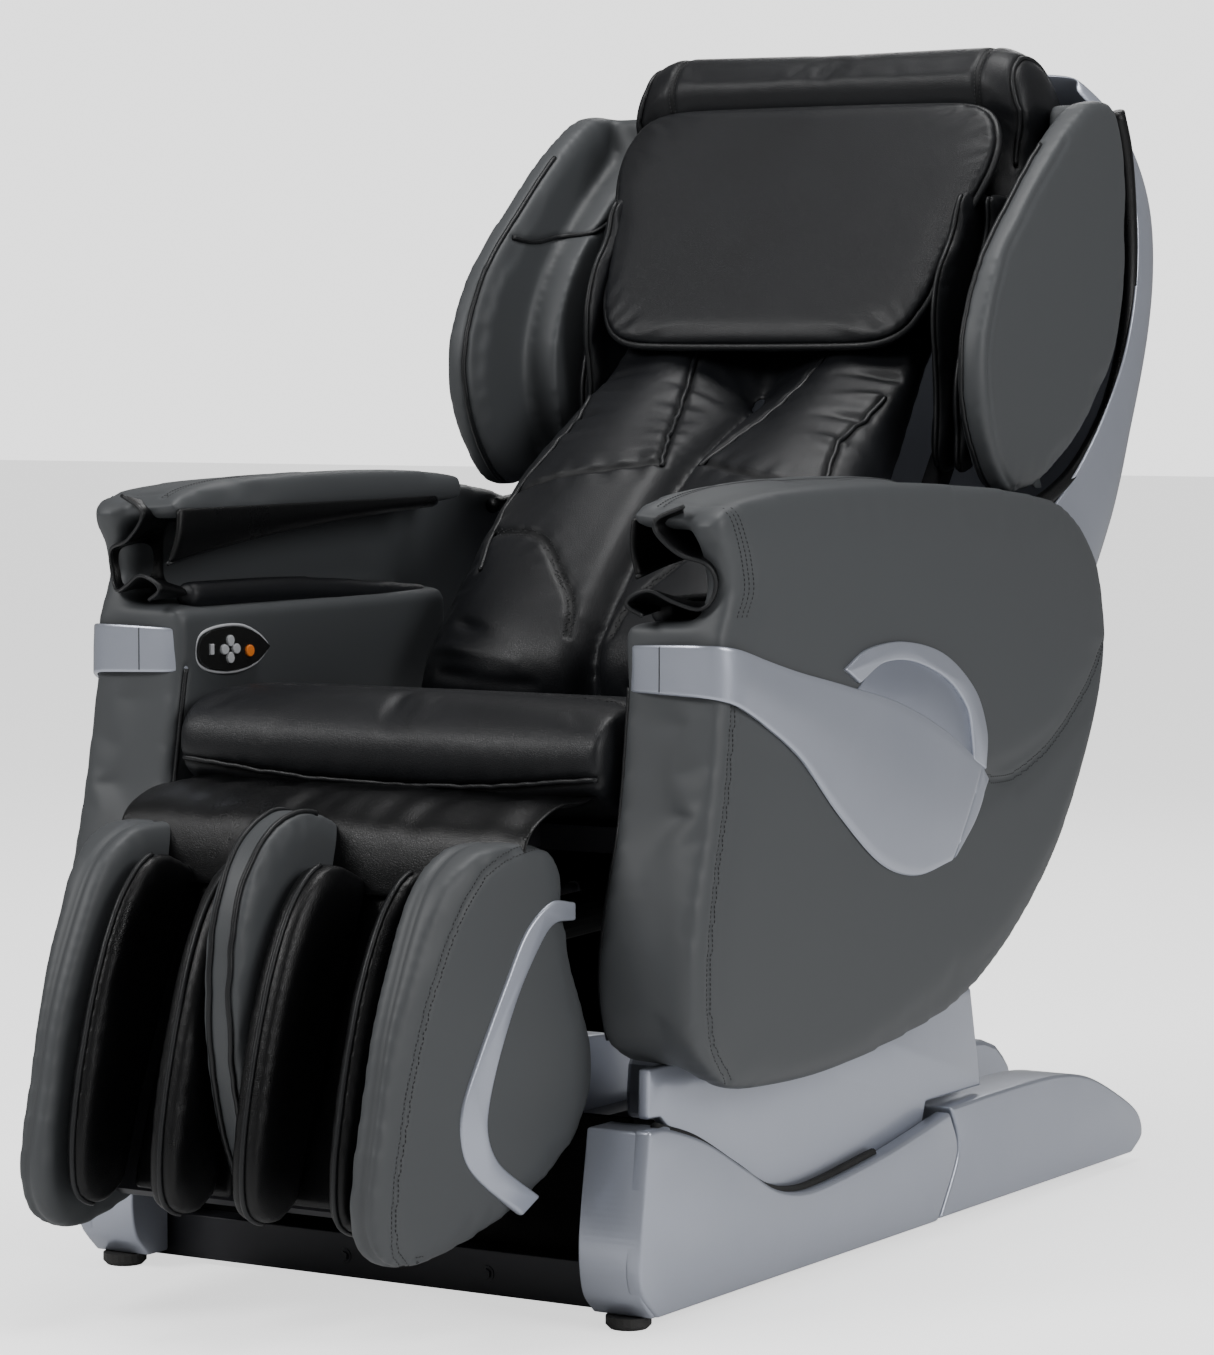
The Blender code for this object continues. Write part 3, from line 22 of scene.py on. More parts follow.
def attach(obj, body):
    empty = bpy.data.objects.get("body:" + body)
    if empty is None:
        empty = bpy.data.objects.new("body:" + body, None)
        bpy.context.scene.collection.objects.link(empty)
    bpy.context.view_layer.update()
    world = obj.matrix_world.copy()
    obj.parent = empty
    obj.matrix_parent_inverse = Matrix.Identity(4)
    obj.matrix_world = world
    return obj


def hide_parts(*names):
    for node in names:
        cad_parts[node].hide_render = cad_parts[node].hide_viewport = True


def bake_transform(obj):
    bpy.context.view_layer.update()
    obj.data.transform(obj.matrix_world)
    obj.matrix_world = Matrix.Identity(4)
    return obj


LOG = logging.getLogger("recliner")
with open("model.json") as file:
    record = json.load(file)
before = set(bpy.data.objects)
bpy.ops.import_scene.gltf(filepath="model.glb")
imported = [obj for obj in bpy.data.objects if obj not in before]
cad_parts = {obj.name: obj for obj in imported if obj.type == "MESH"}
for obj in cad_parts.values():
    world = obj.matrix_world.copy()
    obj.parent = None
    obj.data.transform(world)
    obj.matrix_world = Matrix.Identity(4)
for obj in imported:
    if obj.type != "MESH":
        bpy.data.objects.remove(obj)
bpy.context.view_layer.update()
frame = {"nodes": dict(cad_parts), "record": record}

Point = tuple[float, ...]
Path3D = list[Vector]

CORNER = "corner"
SMALLEST = 1e-9
WELD = 0.00005
STITCH_PITCH = 0.0046
STITCH_LENGTH = 0.0032
STITCH_RADIUS = 0.00055
PIPING_RADIUS = 0.0028
SEAM_STEP = 0.004
SMOOTH_ANGLE = math.radians(35)
SIDE_VIEW = Matrix(((0, 0, 1), (1, 0, 0), (0, 1, 0))).to_4x4()


class Side(Enum):
    """The two sides of the chair, as the sign of their X."""

    LEFT = 1
    RIGHT = -1

    @property
    def word(self) -> str:
        """The side's name as the nodes write it."""
        return self.name.lower()


# ---------------------------------------------------------------- workshop: paths and outlines


def spline_through(points: Sequence[Vector], step: float, closed: bool = False) -> Path3D:
    """A smooth curve through some points, at even steps.

    Args:
        points: The points that the curve passes through, in order.
        step: The distance between the returned points.
        closed: Whether the curve joins its end to its start.

    Returns:
        The points along the curve. An open curve keeps both its ends.
    """
    spots = [Vector(p).to_3d() for p in points]
    count = len(spots)
    if closed:
        spans = [[spots[(i + k) % count] for k in (-1, 0, 1, 2)] for i in range(count)]
    else:
        ends = [2 * spots[0] - spots[1], *spots, 2 * spots[-1] - spots[-2]]
        spans = [ends[i : i + 4] for i in range(count - 1)]
    fine: Path3D = []
    for before, start, end, after in spans:
        pieces = max(2, math.ceil((end - start).length / step) * 2)
        first, last = (end - before) / 2, (after - start) / 2
        reach = (end - start).length
        first *= min(1.0, reach / max(first.length, SMALLEST))
        last *= min(1.0, reach / max(last.length, SMALLEST))
        for k in range(pieces):
            t = k / pieces
            cube, square = t**3, t**2
            fine.append(
                start * (2 * cube - 3 * square + 1)
                + first * (cube - 2 * square + t)
                + end * (3 * square - 2 * cube)
                + last * (cube - square)
            )
    fine.append(spots[0].copy() if closed else spots[-1].copy())
    places = np.array(fine)
    run = np.concatenate([[0], np.cumsum(np.linalg.norm(np.diff(places, axis=0), axis=1))])
    parts = max(2, round(run[-1] / step))
    marks = np.linspace(0, run[-1], parts + 1)
    if closed:
        marks = marks[:-1]
    return [Vector(p) for p in np.stack([np.interp(marks, run, places[:, k]) for k in range(3)], 1)]


def outline_loop(outline: Sequence[Point], step: float) -> Path3D:
    """A closed flat outline whose marked corners stay sharp.

    Args:
        outline: (u, v) or (u, v, CORNER) points.
        step: The distance between the returned points.

    Returns:
        Points round the outline, with z = 0.
    """
    corners = [i for i, place in enumerate(outline) if CORNER in place]
    spots = [Vector((place[0], place[1], 0)) for place in outline]
    if not corners:
        return spline_through(spots, step, closed=True)
    loop: Path3D = []
    for a, b in zip(corners, corners[1:] + [corners[0] + len(outline)]):
        run = [spots[i % len(outline)] for i in range(a, b + 1)]
        loop += spline_through(run, step)[:-1]
    return loop


# ---------------------------------------------------------------- workshop: objects


def plain_state() -> None:
    """Leaves edit mode and deselects everything, before an operator is used."""
    if bpy.context.object and bpy.context.object.mode != "OBJECT":
        bpy.ops.object.mode_set(mode="OBJECT")
    bpy.ops.object.select_all(action="DESELECT")


def make_active(piece: bpy.types.Object) -> None:
    """Makes a piece the only selected object."""
    plain_state()
    piece.select_set(True)
    bpy.context.view_layer.objects.active = piece


def apply_modifier(piece: bpy.types.Object, kind: str, **settings: object) -> None:
    """Adds a modifier with some settings and applies it."""
    modifier = piece.modifiers.new(kind.lower(), kind)
    for name, value in settings.items():
        setattr(modifier, name, value)
    make_active(piece)
    bpy.ops.object.modifier_apply(modifier=modifier.name)


def points_of(piece: bpy.types.Object) -> np.ndarray:
    """A mesh's points as an array of rows."""
    flat = np.empty(len(piece.data.vertices) * 3, np.float32)
    piece.data.vertices.foreach_get("co", flat)
    return flat.reshape(-1, 3).astype(float)


def set_points(piece: bpy.types.Object, places: np.ndarray) -> None:
    """Writes a mesh's points back."""
    piece.data.vertices.foreach_set("co", places.astype(np.float32).ravel())
    piece.data.update()


def normals_of(piece: bpy.types.Object) -> np.ndarray:
    """A mesh's point normals as an array of rows."""
    flat = np.empty(len(piece.data.vertices) * 3, np.float32)
    piece.data.vertices.foreach_get("normal", flat)
    return flat.reshape(-1, 3).astype(float)


def face_outward(piece: bpy.types.Object) -> None:
    """Merges doubled points and turns every face out."""
    make_active(piece)
    bpy.ops.object.mode_set(mode="EDIT")
    bpy.ops.mesh.select_all(action="SELECT")
    bpy.ops.mesh.remove_doubles(threshold=WELD)
    bpy.ops.mesh.normals_make_consistent(inside=False)
    bpy.ops.object.mode_set(mode="OBJECT")


def smooth_shading(piece: bpy.types.Object, angle: float = SMOOTH_ANGLE) -> None:
    """Shades a piece smooth, apart from edges sharper than an angle."""
    make_active(piece)
    bpy.ops.object.shade_smooth_by_angle(angle=angle)


def join_pieces(name: str, pieces: Sequence[bpy.types.Object]) -> bpy.types.Object:
    """Joins some objects into one and names it."""
    make_active(pieces[0])
    for piece in pieces[1:]:
        piece.select_set(True)
    if len(pieces) > 1:
        bpy.ops.object.join()
    pieces[0].name = pieces[0].data.name = name
    return pieces[0]


def copy_to_other_side(piece: bpy.types.Object, name: str) -> bpy.types.Object:
    """A mirrored copy of a piece, with its own mesh facing outwards."""
    mesh = piece.data.copy()
    twin = bpy.data.objects.new(name, mesh)
    mesh.name = name
    bpy.context.scene.collection.objects.link(twin)
    mesh.transform(Matrix.Scale(-1, 4, (1, 0, 0)))
    mesh.flip_normals()
    return twin


def disc(name: str, loop: Path3D, matrix: Matrix) -> bpy.types.Object:
    """A flat face inside a loop, which starts as a circle whose points are drawn onto the loop.

    Args:
        name: The new object's name.
        loop: The loop's points, in the view's own plane.
        matrix: From the view's plane to the chair.

    Returns:
        The new object.
    """
    plain_state()
    bpy.ops.mesh.primitive_circle_add(vertices=len(loop), radius=1, fill_type="NGON")
    piece = bpy.context.object
    piece.name = piece.data.name = name
    set_points(piece, np.array([matrix @ p for p in loop]))
    return piece


def slab(
    name: str,
    outline: Sequence[Point],
    low: float,
    high: float,
    view: Matrix = SIDE_VIEW,
    step: float = 0.006,
    top_bevel: float = 0.0,
    bottom_bevel: float = 0.0,
    segments: int = 4,
) -> bpy.types.Object:
    """A plate with a smooth outline, whose face edges can be rounded.

    Args:
        name: The new object's name.
        outline: The plate's outline in its view.
        low: Where the plate starts along the view's out direction.
        high: Where it ends.
        view: From the outline's (across, up, out) to the chair.
        step: The distance between outline points.
        top_bevel: The rounding of the edge at high.
        bottom_bevel: The rounding of the edge at low.
        segments: The steps of each rounding.

    Returns:
        The new object.
    """
    out = view.to_3x3() @ Vector((0, 0, 1))
    piece = disc(name, outline_loop(outline, step), view @ Matrix.Translation((0, 0, low)))
    bpy.ops.object.mode_set(mode="EDIT")
    bpy.ops.mesh.select_all(action="SELECT")
    bpy.ops.mesh.extrude_region_move(TRANSFORM_OT_translate={"value": out * (high - low)})
    bpy.ops.object.mode_set(mode="OBJECT")
    face_outward(piece)
    origin = view.translation
    for width, level in ((top_bevel, high), (bottom_bevel, low)):
        if not width:
            continue
        make_active(piece)
        heights = (points_of(piece) - np.array(origin)) @ np.array(out)
        at_level = np.abs(heights - level) < WELD
        for edge in piece.data.edges:
            edge.select = bool(at_level[edge.vertices[0]] and at_level[edge.vertices[1]])
        bpy.ops.object.mode_set(mode="EDIT")
        bpy.context.tool_settings.mesh_select_mode = (False, True, False)
        bpy.ops.mesh.bevel(offset=width, segments=segments, profile=0.5, clamp_overlap=True)
        bpy.ops.object.mode_set(mode="OBJECT")
    return piece


def block(name: str, low: Point, high: Point, bevel: float = 0.0, segments: int = 3) -> bpy.types.Object:
    """A box between two corners with rounded edges."""
    plain_state()
    middle = (Vector(low) + Vector(high)) / 2
    bpy.ops.mesh.primitive_cube_add(size=1, location=middle)
    piece = bpy.context.object
    piece.name = piece.data.name = name
    piece.scale = Vector(high) - Vector(low)
    bpy.ops.object.transform_apply(location=True, rotation=True, scale=True)
    if bevel:
        bpy.ops.object.mode_set(mode="EDIT")
        bpy.ops.mesh.select_all(action="SELECT")
        bpy.ops.mesh.bevel(offset=bevel, segments=segments, profile=0.5, clamp_overlap=True)
        bpy.ops.object.mode_set(mode="OBJECT")
    return piece


def tube(name: str, path: Path3D, radius: float, closed: bool = False, sides: int = 4) -> bpy.types.Object:
    """A round cord along a path, with closed ends.

    Args:
        name: The new object's name.
        path: The points of its centreline.
        radius: Its radius.
        closed: Whether it is a ring.
        sides: Half the number of points round it.

    Returns:
        The new mesh object.
    """
    plain_state()
    bpy.ops.curve.primitive_nurbs_path_add()
    piece = bpy.context.object
    curve = piece.data
    curve.splines.clear()
    spline = curve.splines.new("POLY")
    spline.points.add(len(path) - 1)
    spline.points.foreach_set("co", np.array([(*p, 1.0) for p in path]).ravel())
    spline.use_cyclic_u = closed
    curve.dimensions = "3D"
    curve.bevel_depth = radius
    curve.bevel_resolution = max(0, sides - 2)
    curve.use_fill_caps = not closed
    bpy.ops.object.convert(target="MESH")
    piece.name = piece.data.name = name
    face_outward(piece)
    return piece


def follow_path(piece: bpy.types.Object, path: Path3D, pitch: float) -> bpy.types.Object:
    """Repeats a small shape along a path, as a needle sets stitches.

    Args:
        piece: One stitch, lying along X from the origin.
        path: The points to follow.
        pitch: The distance from one stitch to the next.

    Returns:
        The row of stitches as one object.
    """
    places = np.array(path)
    run = np.concatenate([[0], np.cumsum(np.linalg.norm(np.diff(places, axis=0), axis=1))])
    count = max(1, int(run[-1] / pitch))
    marks = (np.arange(count) + 0.5) * run[-1] / count
    middles = np.stack([np.interp(marks, run, places[:, k]) for k in range(3)], 1)
    ahead = np.stack([np.interp(marks + pitch / 4, run, places[:, k]) for k in range(3)], 1)
    behind = np.stack([np.interp(marks - pitch / 4, run, places[:, k]) for k in range(3)], 1)
    along = ahead - behind
    along /= np.maximum(np.linalg.norm(along, axis=1, keepdims=True), SMALLEST)
    helper = np.where(np.abs(along[:, 2:3]) < 0.9, [[0.0, 0.0, 1.0]], [[1.0, 0.0, 0.0]])
    across = np.cross(helper, along)
    across /= np.linalg.norm(across, axis=1, keepdims=True)
    up = np.cross(along, across)
    apply_modifier(
        piece, "ARRAY", count=count, use_relative_offset=False, use_constant_offset=True,
        constant_offset_displace=(0, 0, 0), use_merge_vertices=False,
    )
    shape = points_of(piece).reshape(count, -1, 3)
    frames = np.stack([along, across, up], 1)
    set_points(piece, (np.einsum("nvk,nkj->nvj", shape, frames) + middles[:, None]).reshape(-1, 3))
    return piece


def one_stitch(length: float = STITCH_LENGTH, radius: float = STITCH_RADIUS) -> bpy.types.Object:
    """A single stitch of thread: a short rounded bead along X."""
    plain_state()
    bpy.ops.mesh.primitive_uv_sphere_add(segments=6, ring_count=4, radius=1)
    bead = bpy.context.object
    bead.data.transform(Matrix.Diagonal((radius, radius, length / 2, 1)))
    bead.data.transform(Matrix.Rotation(math.pi / 2, 4, "Y"))
    return bead


# ---------------------------------------------------------------- workshop: padding


@dataclass(frozen=True)
class Padding:
    """How a padded shape is filled.

    Attributes:
        voxel: The size of the cells that its skin is rebuilt from.
        pressure: The push of the filling.
        cap: The furthest that its skin may move.
        looseness: How much more leather there is than foam, as a share.
    """

    voxel: float = 0.006
    pressure: float = 4.0
    cap: float = 0.008
    looseness: float = 0.0


@dataclass
class SewingRoom:
    """Fills all the padded shapes in one run of the cloth simulation."""

    jobs: list[tuple[bpy.types.Object, Padding, np.ndarray]] = field(default_factory=list)
    last_frame: int = 20
    settled_smoothing: int = 2

    def stretch_skin(
        self, piece: bpy.types.Object, padding: Padding, seams: Sequence[Path3D] = (), rounding: int = 6
    ) -> None:
        """Rebuilds a shape as an even skin, and takes it in for filling.

        Args:
            piece: The shape, closed and facing outwards.
            padding: How it is to be filled.
            seams: Paths near the skin where it is sewn down, so that it can't swell there.
            rounding: How often the skin is smoothed before it is filled.
        """
        apply_modifier(piece, "REMESH", mode="VOXEL", voxel_size=padding.voxel, use_smooth_shade=True)
        if rounding:
            apply_modifier(piece, "SMOOTH", factor=0.5, iterations=rounding)
        held = piece.vertex_groups.new(name="sewn_down")
        places = points_of(piece)
        reach = padding.voxel * 1.2
        for seam in seams:
            near = near_path(places, seam, reach)[0]
            held.add([int(i) for i in np.nonzero(near < reach)[0]], 1.0, "REPLACE")
        self.jobs.append((piece, padding, places))

    def fill_all(self) -> None:
        """Runs the cloth on every shape at once, then keeps each within its cap."""
        scene = bpy.context.scene
        for piece, padding, _ in self.jobs:
            self.add_cloth(piece, padding)
        for step in range(1, self.last_frame + 1):
            scene.frame_set(step)
        for piece, padding, start in self.jobs:
            for modifier in list(piece.modifiers):
                make_active(piece)
                bpy.ops.object.modifier_apply(modifier=modifier.name)
            moved = points_of(piece) - start
            far = np.linalg.norm(moved, axis=1, keepdims=True)
            kept = padding.cap * np.tanh(far / padding.cap)
            set_points(piece, start + moved * kept / np.maximum(far, SMALLEST))
            piece.vertex_groups.clear()
            apply_modifier(piece, "SMOOTH", factor=0.5, iterations=self.settled_smoothing)
            apply_modifier(piece, "SUBSURF", levels=1, render_levels=1)
            make_active(piece)
            bpy.ops.object.shade_smooth()
            LOG.info("filled %s: %d faces", piece.name, len(piece.data.polygons))
        scene.frame_set(1)
        self.jobs.clear()

    def add_cloth(self, piece: bpy.types.Object, padding: Padding) -> None:
        """Puts the cloth and its filling pressure on one shape."""
        cloth = piece.modifiers.new("filling", "CLOTH")
        settings = cloth.settings
        settings.quality = 4
        settings.mass = 0.3
        settings.tension_stiffness = settings.compression_stiffness = 20
        settings.shear_stiffness = 8
        settings.bending_stiffness = 1.2
        settings.use_pressure = True
        settings.uniform_pressure_force = padding.pressure
        settings.shrink_min = -padding.looseness
        settings.effector_weights.gravity = 0
        settings.vertex_group_mass = "sewn_down"
        cloth.collision_settings.use_collision = False
        cloth.point_cache.frame_start = 1
        cloth.point_cache.frame_end = self.last_frame


def near_path(places: np.ndarray, path: Path3D, reach: float) -> tuple[np.ndarray, np.ndarray]:
    """How far points lie from a path, and how far along it.

    Args:
        places: The points, in rows.
        path: The path's points, at even steps.
        reach: Points further off than this aren't measured.

    Returns:
        Each point's distance to the path, infinite past the reach, and the length run there.
    """
    line = np.array(path)
    low, high = line.min(0) - reach, line.max(0) + reach
    inside = np.nonzero(((places >= low) & (places <= high)).all(1))[0]
    distance = np.full(len(places), np.inf)
    run_at = np.zeros(len(places))
    if not len(inside):
        return distance, run_at
    starts, spans = line[:-1], np.diff(line, axis=0)
    lengths = np.linalg.norm(spans, axis=1)
    run = np.concatenate([[0], np.cumsum(lengths)])[:-1]
    for lump in np.array_split(inside, max(1, len(inside) * len(starts) // 2_000_000)):
        offset = places[lump][:, None] - starts[None]
        share = (offset * spans).sum(2) / np.maximum(lengths**2, SMALLEST)
        share = np.clip(share, 0, 1)
        gap = np.linalg.norm(offset - share[..., None] * spans, axis=2)
        best = gap.argmin(1)
        rows = np.arange(len(lump))
        distance[lump] = gap[rows, best]
        run_at[lump] = run[best] + share[rows, best] * lengths[best]
    return distance, run_at


class SeamKind(Enum):
    """How two panels of leather are joined."""

    PIPED = "piped"
    DOUBLE = "double stitched"
    TOPSTITCH = "top stitched"
    PLAIN = "plain"


@dataclass(frozen=True)
class Seam:
    """A seam on a padded piece.

    Attributes:
        points: Points near the skin that the seam runs through.
        sight: The direction in which the points are thrown onto the skin, or None for the nearest place.
        kind: How it is joined.
        depth: How deep the seam pulls the skin in.
        width: How far to each side the skin dips.
        pucker: The height of the small gathers beside it.
        closed: Whether it runs all round.
        cord: The radius of its piping.
    """

    points: tuple[Point, ...]
    sight: Point | None = None
    kind: SeamKind = SeamKind.DOUBLE
    depth: float = 0.0022
    width: float = 0.0075
    pucker: float = 0.0
    closed: bool = False
    cord: float = PIPING_RADIUS


def paint_shade_on_skin(piece: bpy.types.Object, amounts: np.ndarray) -> None:
    """Paints shade onto a skin point by point, darkening it where shade falls: 0 keeps its colour and 1 is black."""
    mask = piece.data.attributes.get("shade") or piece.data.attributes.new("shade", "FLOAT", "POINT")
    mask.data.foreach_set("value", np.clip(amounts, 0, 1).astype(np.float32))


def skin_tree(piece: bpy.types.Object) -> BVHTree:
    """A search tree of a mesh's faces."""
    mesh = piece.data
    return BVHTree.FromPolygons([v.co for v in mesh.vertices], [p.vertices for p in mesh.polygons])


def lay_on(tree: BVHTree, path: Path3D, sight: Point | None) -> tuple[Path3D, Path3D]:
    """Throws a path onto a skin.

    Args:
        tree: The skin's search tree.
        path: The path to lay.
        sight: The direction to throw it in, or None for the nearest place.

    Returns:
        The laid points and the skin's normals there.
    """
    laid: Path3D = []
    normals: Path3D = []
    ray = Vector(sight).normalized() if sight else None
    for spot in path:
        found = tree.ray_cast(spot - ray * 0.5, ray) if ray else (None,)
        if found[0] is None:
            found = tree.find_nearest(spot)
        laid.append(found[0])
        normals.append(found[1])
    return laid, normals


def beside(tree: BVHTree, path: Path3D, normals: Path3D, offset: float, lift: float) -> Path3D:
    """A path moved sideways on a skin, and lifted off it."""
    moved: Path3D = []
    for i, (spot, normal) in enumerate(zip(path, normals)):
        along = path[min(i + 1, len(path) - 1)] - path[max(i - 1, 0)]
        across = normal.cross(along).normalized()
        place, facing, _, _ = tree.find_nearest(spot + across * offset)
        moved.append(place + facing * lift)
    return moved


def seam_shade_of(mesh: bpy.types.Mesh) -> bpy.types.Attribute:
    """The mesh's seam mask, which its leather reads for painted shade and roughness: 1 in a seam and 0 away from it."""
    return mesh.attributes.get("crease") or mesh.attributes.new("crease", "FLOAT", "POINT")


def pull_in(piece: bpy.types.Object, path: Path3D, seam: Seam) -> None:
    """Sinks a skin along a path, gathers it beside the path and marks the seam for painted shade in its groove."""
    places, facing = points_of(piece), normals_of(piece)
    reach = max(seam.width * 2.5, 0.030 if seam.pucker else 0.0)
    gap, run = near_path(places, path, reach)
    close = np.isfinite(gap) & (gap < reach)
    dip = np.zeros(len(places))
    dip[close] = -seam.depth * np.exp(-((gap[close] / (seam.width * 0.5)) ** 2))
    if seam.pucker:
        wave = np.array([noise.noise(Vector((r * 55, 3.1, seam.pucker * 900))) for r in run[close]])
        fade = np.exp(-gap[close] / 0.013) * (1 - np.exp(-((gap[close] / 0.004) ** 2)))
        dip[close] += seam.pucker * wave * fade * 2
    set_points(piece, places + facing * dip[:, None])
    mask = seam_shade_of(piece.data)
    values = np.empty(len(places), np.float32)
    mask.data.foreach_get("value", values)
    # Painted shade: the mask darkens the leather in the seam's groove.
    values[close] = np.maximum(values[close], np.exp(-((gap[close] / (seam.width * 0.6)) ** 2)))
    mask.data.foreach_set("value", values)


def sew(piece: bpy.types.Object, seams: Sequence[Seam]) -> list[bpy.types.Object]:
    """Works seams into a padded piece.

    Args:
        piece: The padded piece, already filled.
        seams: Its seams.

    Returns:
        The piping and the rows of stitches, as loose objects.
    """
    seam_shade_of(piece.data)
    tree = skin_tree(piece)
    laid = []
    for seam in seams:
        line = spline_through([Vector(p) for p in seam.points], SEAM_STEP, seam.closed)
        laid.append(lay_on(tree, line, seam.sight))
    for seam, (path, _) in zip(seams, laid):
        pull_in(piece, path, seam)
    tree = skin_tree(piece)
    extras: list[bpy.types.Object] = []
    for seam, (path, _) in zip(seams, laid):
        path, normals = lay_on(tree, path, None)
        if seam.kind is SeamKind.PIPED:
            lifted = [p + n * seam.cord * 0.55 for p, n in zip(path, normals)]
            extras.append(tube("piping", smoothed(lifted, seam.closed), seam.cord, seam.closed))
        offsets = {SeamKind.DOUBLE: (-0.0038, 0.0038), SeamKind.TOPSTITCH: (0.0,)}.get(seam.kind, ())
        for offset in offsets:
            row = beside(tree, path, normals, offset, STITCH_RADIUS * 0.35)
            extras.append(follow_path(one_stitch(), row, STITCH_PITCH))
    return extras


def smoothed(path: Path3D, closed: bool = False, rounds: int = 2) -> Path3D:
    """A path with its small kinks taken out."""
    places = np.array(path)
    for _ in range(rounds):
        before, after = np.roll(places, 1, 0), np.roll(places, -1, 0)
        mixed = places * 0.5 + (before + after) * 0.25
        if not closed:
            mixed[0], mixed[-1] = places[0], places[-1]
        places = mixed
    return [Vector(p) for p in places]


def crumple(piece: bpy.types.Object, folds: Sequence[tuple[Point, Point, float, float]]) -> None:
    """Raises soft folds on a skin.

    Args:
        piece: The padded piece.
        folds: Each fold's start, end, height and half-width; a height below zero is a valley.
    """
    places, facing = points_of(piece), normals_of(piece)
    lift = np.zeros(len(places))
    for start, end, height, half in folds:
        path = [Vector(start).lerp(Vector(end), k / 12) for k in range(13)]
        length = (Vector(end) - Vector(start)).length
        gap, run = near_path(places, path, half * 3)
        close = np.isfinite(gap)
        taper = np.sin(np.pi * np.clip(run[close] / length, 0, 1)) ** 0.6
        lift[close] += height * np.exp(-((gap[close] / half) ** 2)) * taper
    set_points(piece, places + facing * lift[:, None])


def lofted_sheet(
    name: str, edges: Sequence[Path3D], across: int, thickness: float, bulge: float = 0.0, rounds: int = 1
) -> bpy.types.Object:
    """A soft sheet with thickness, stretched over a few edges.

    Args:
        name: The new object's name.
        edges: Paths with the same number of points, from one side of the sheet to the other.
        across: The steps from the first edge to the last.
        thickness: The sheet's thickness, half to each side.
        bulge: How far its middle stands out along its own normal.
        rounds: The subdivisions that smooth it.

    Returns:
        The new object.
    """
    plain_state()
    columns = len(edges[0])
    bpy.ops.mesh.primitive_grid_add(x_subdivisions=columns - 1, y_subdivisions=across, size=1)
    piece = bpy.context.object
    piece.name = piece.data.name = name
    places = np.zeros((across + 1, columns, 3))
    for column in range(columns):
        places[:, column] = np.array(even_points([edge[column] for edge in edges], across + 1))
    if bulge:
        along = np.gradient(places, axis=1)
        up = np.gradient(places, axis=0)
        out = np.cross(along, up)
        out /= np.maximum(np.linalg.norm(out, axis=2, keepdims=True), SMALLEST)
        share = np.sin(np.linspace(0, np.pi, across + 1))[:, None, None]
        places += out * share * bulge
    set_points(piece, places.reshape(-1, 3))
    apply_modifier(piece, "SOLIDIFY", thickness=thickness, offset=0)
    face_outward(piece)
    apply_modifier(piece, "SUBSURF", levels=rounds, render_levels=rounds)
    make_active(piece)
    bpy.ops.object.shade_smooth()
    return piece


def even_points(knots: Sequence[Vector], count: int) -> Path3D:
    """A given number of points at even steps along a smooth curve through some knots."""
    if len(knots) == 2:
        return [knots[0].lerp(knots[1], k / (count - 1)) for k in range(count)]
    length = sum((b - a).length for a, b in zip(knots, knots[1:]))
    fine = np.array(spline_through(knots, max(length / (count * 4), SMALLEST * 10)))
    run = np.concatenate([[0], np.cumsum(np.linalg.norm(np.diff(fine, axis=0), axis=1))])
    marks = np.linspace(0, run[-1], count)
    return [Vector(p) for p in np.stack([np.interp(marks, run, fine[:, k]) for k in range(3)], 1)]


def even_path(points: Sequence[Point], count: int) -> Path3D:
    """A given number of points along a smooth curve through some points."""
    return even_points([Vector(p) for p in points], count)


# ---------------------------------------------------------------- finishes


class Sheet:
    """A material's or a group's nodes, added and joined by name."""

    def __init__(self, tree: bpy.types.NodeTree) -> None:
        """Takes the tree to fill."""
        self.tree = tree

    def add(self, kind: str, settings: dict[str, object] | None = None, **inputs: object) -> bpy.types.Node:
        """Adds a node, sets its properties and sets or links its inputs."""
        node = self.tree.nodes.new(kind)
        for name, value in (settings or {}).items():
            setattr(node, name, value)
        for name, value in inputs.items():
            socket = node.inputs[int(name[1:])] if name[1:].isdigit() else node.inputs[name.replace("_", " ")]
            if isinstance(value, bpy.types.NodeSocket):
                self.tree.links.new(value, socket)
            else:
                socket.default_value = value
        return node

    def math(self, operation: str, first: object, second: object = 0.0) -> bpy.types.NodeSocket:
        """The result of one sum on two values."""
        return self.add("ShaderNodeMath", {"operation": operation}, i0=first, i1=second).outputs[0]

    def blend(self, share: object, first: object, second: object) -> bpy.types.NodeSocket:
        """A mix of two colours."""
        node = self.add("ShaderNodeMix", {"data_type": "RGBA"}, i0=share, i6=first, i7=second)
        return node.outputs[2]


def new_group(
    name: str, inputs: dict[str, object], outputs: dict[str, str]
) -> tuple[bpy.types.NodeTree, Sheet]:
    """An empty node group with named sockets.

    Args:
        name: The group's name.
        inputs: Each input's default: a colour, a number, or None for a vector.
        outputs: Each output's socket type.

    Returns:
        The group and its sheet, with its input and output nodes added.
    """
    group = bpy.data.node_groups.new(name, "ShaderNodeTree")
    for word, default in inputs.items():
        kind = "NodeSocketVector" if default is None else "NodeSocketFloat"
        kind = "NodeSocketColor" if isinstance(default, tuple) else kind
        socket = group.interface.new_socket(word, in_out="INPUT", socket_type=kind)
        if default is not None:
            socket.default_value = default
    for word, kind in outputs.items():
        group.interface.new_socket(word, in_out="OUTPUT", socket_type=kind)
    return group, Sheet(group)


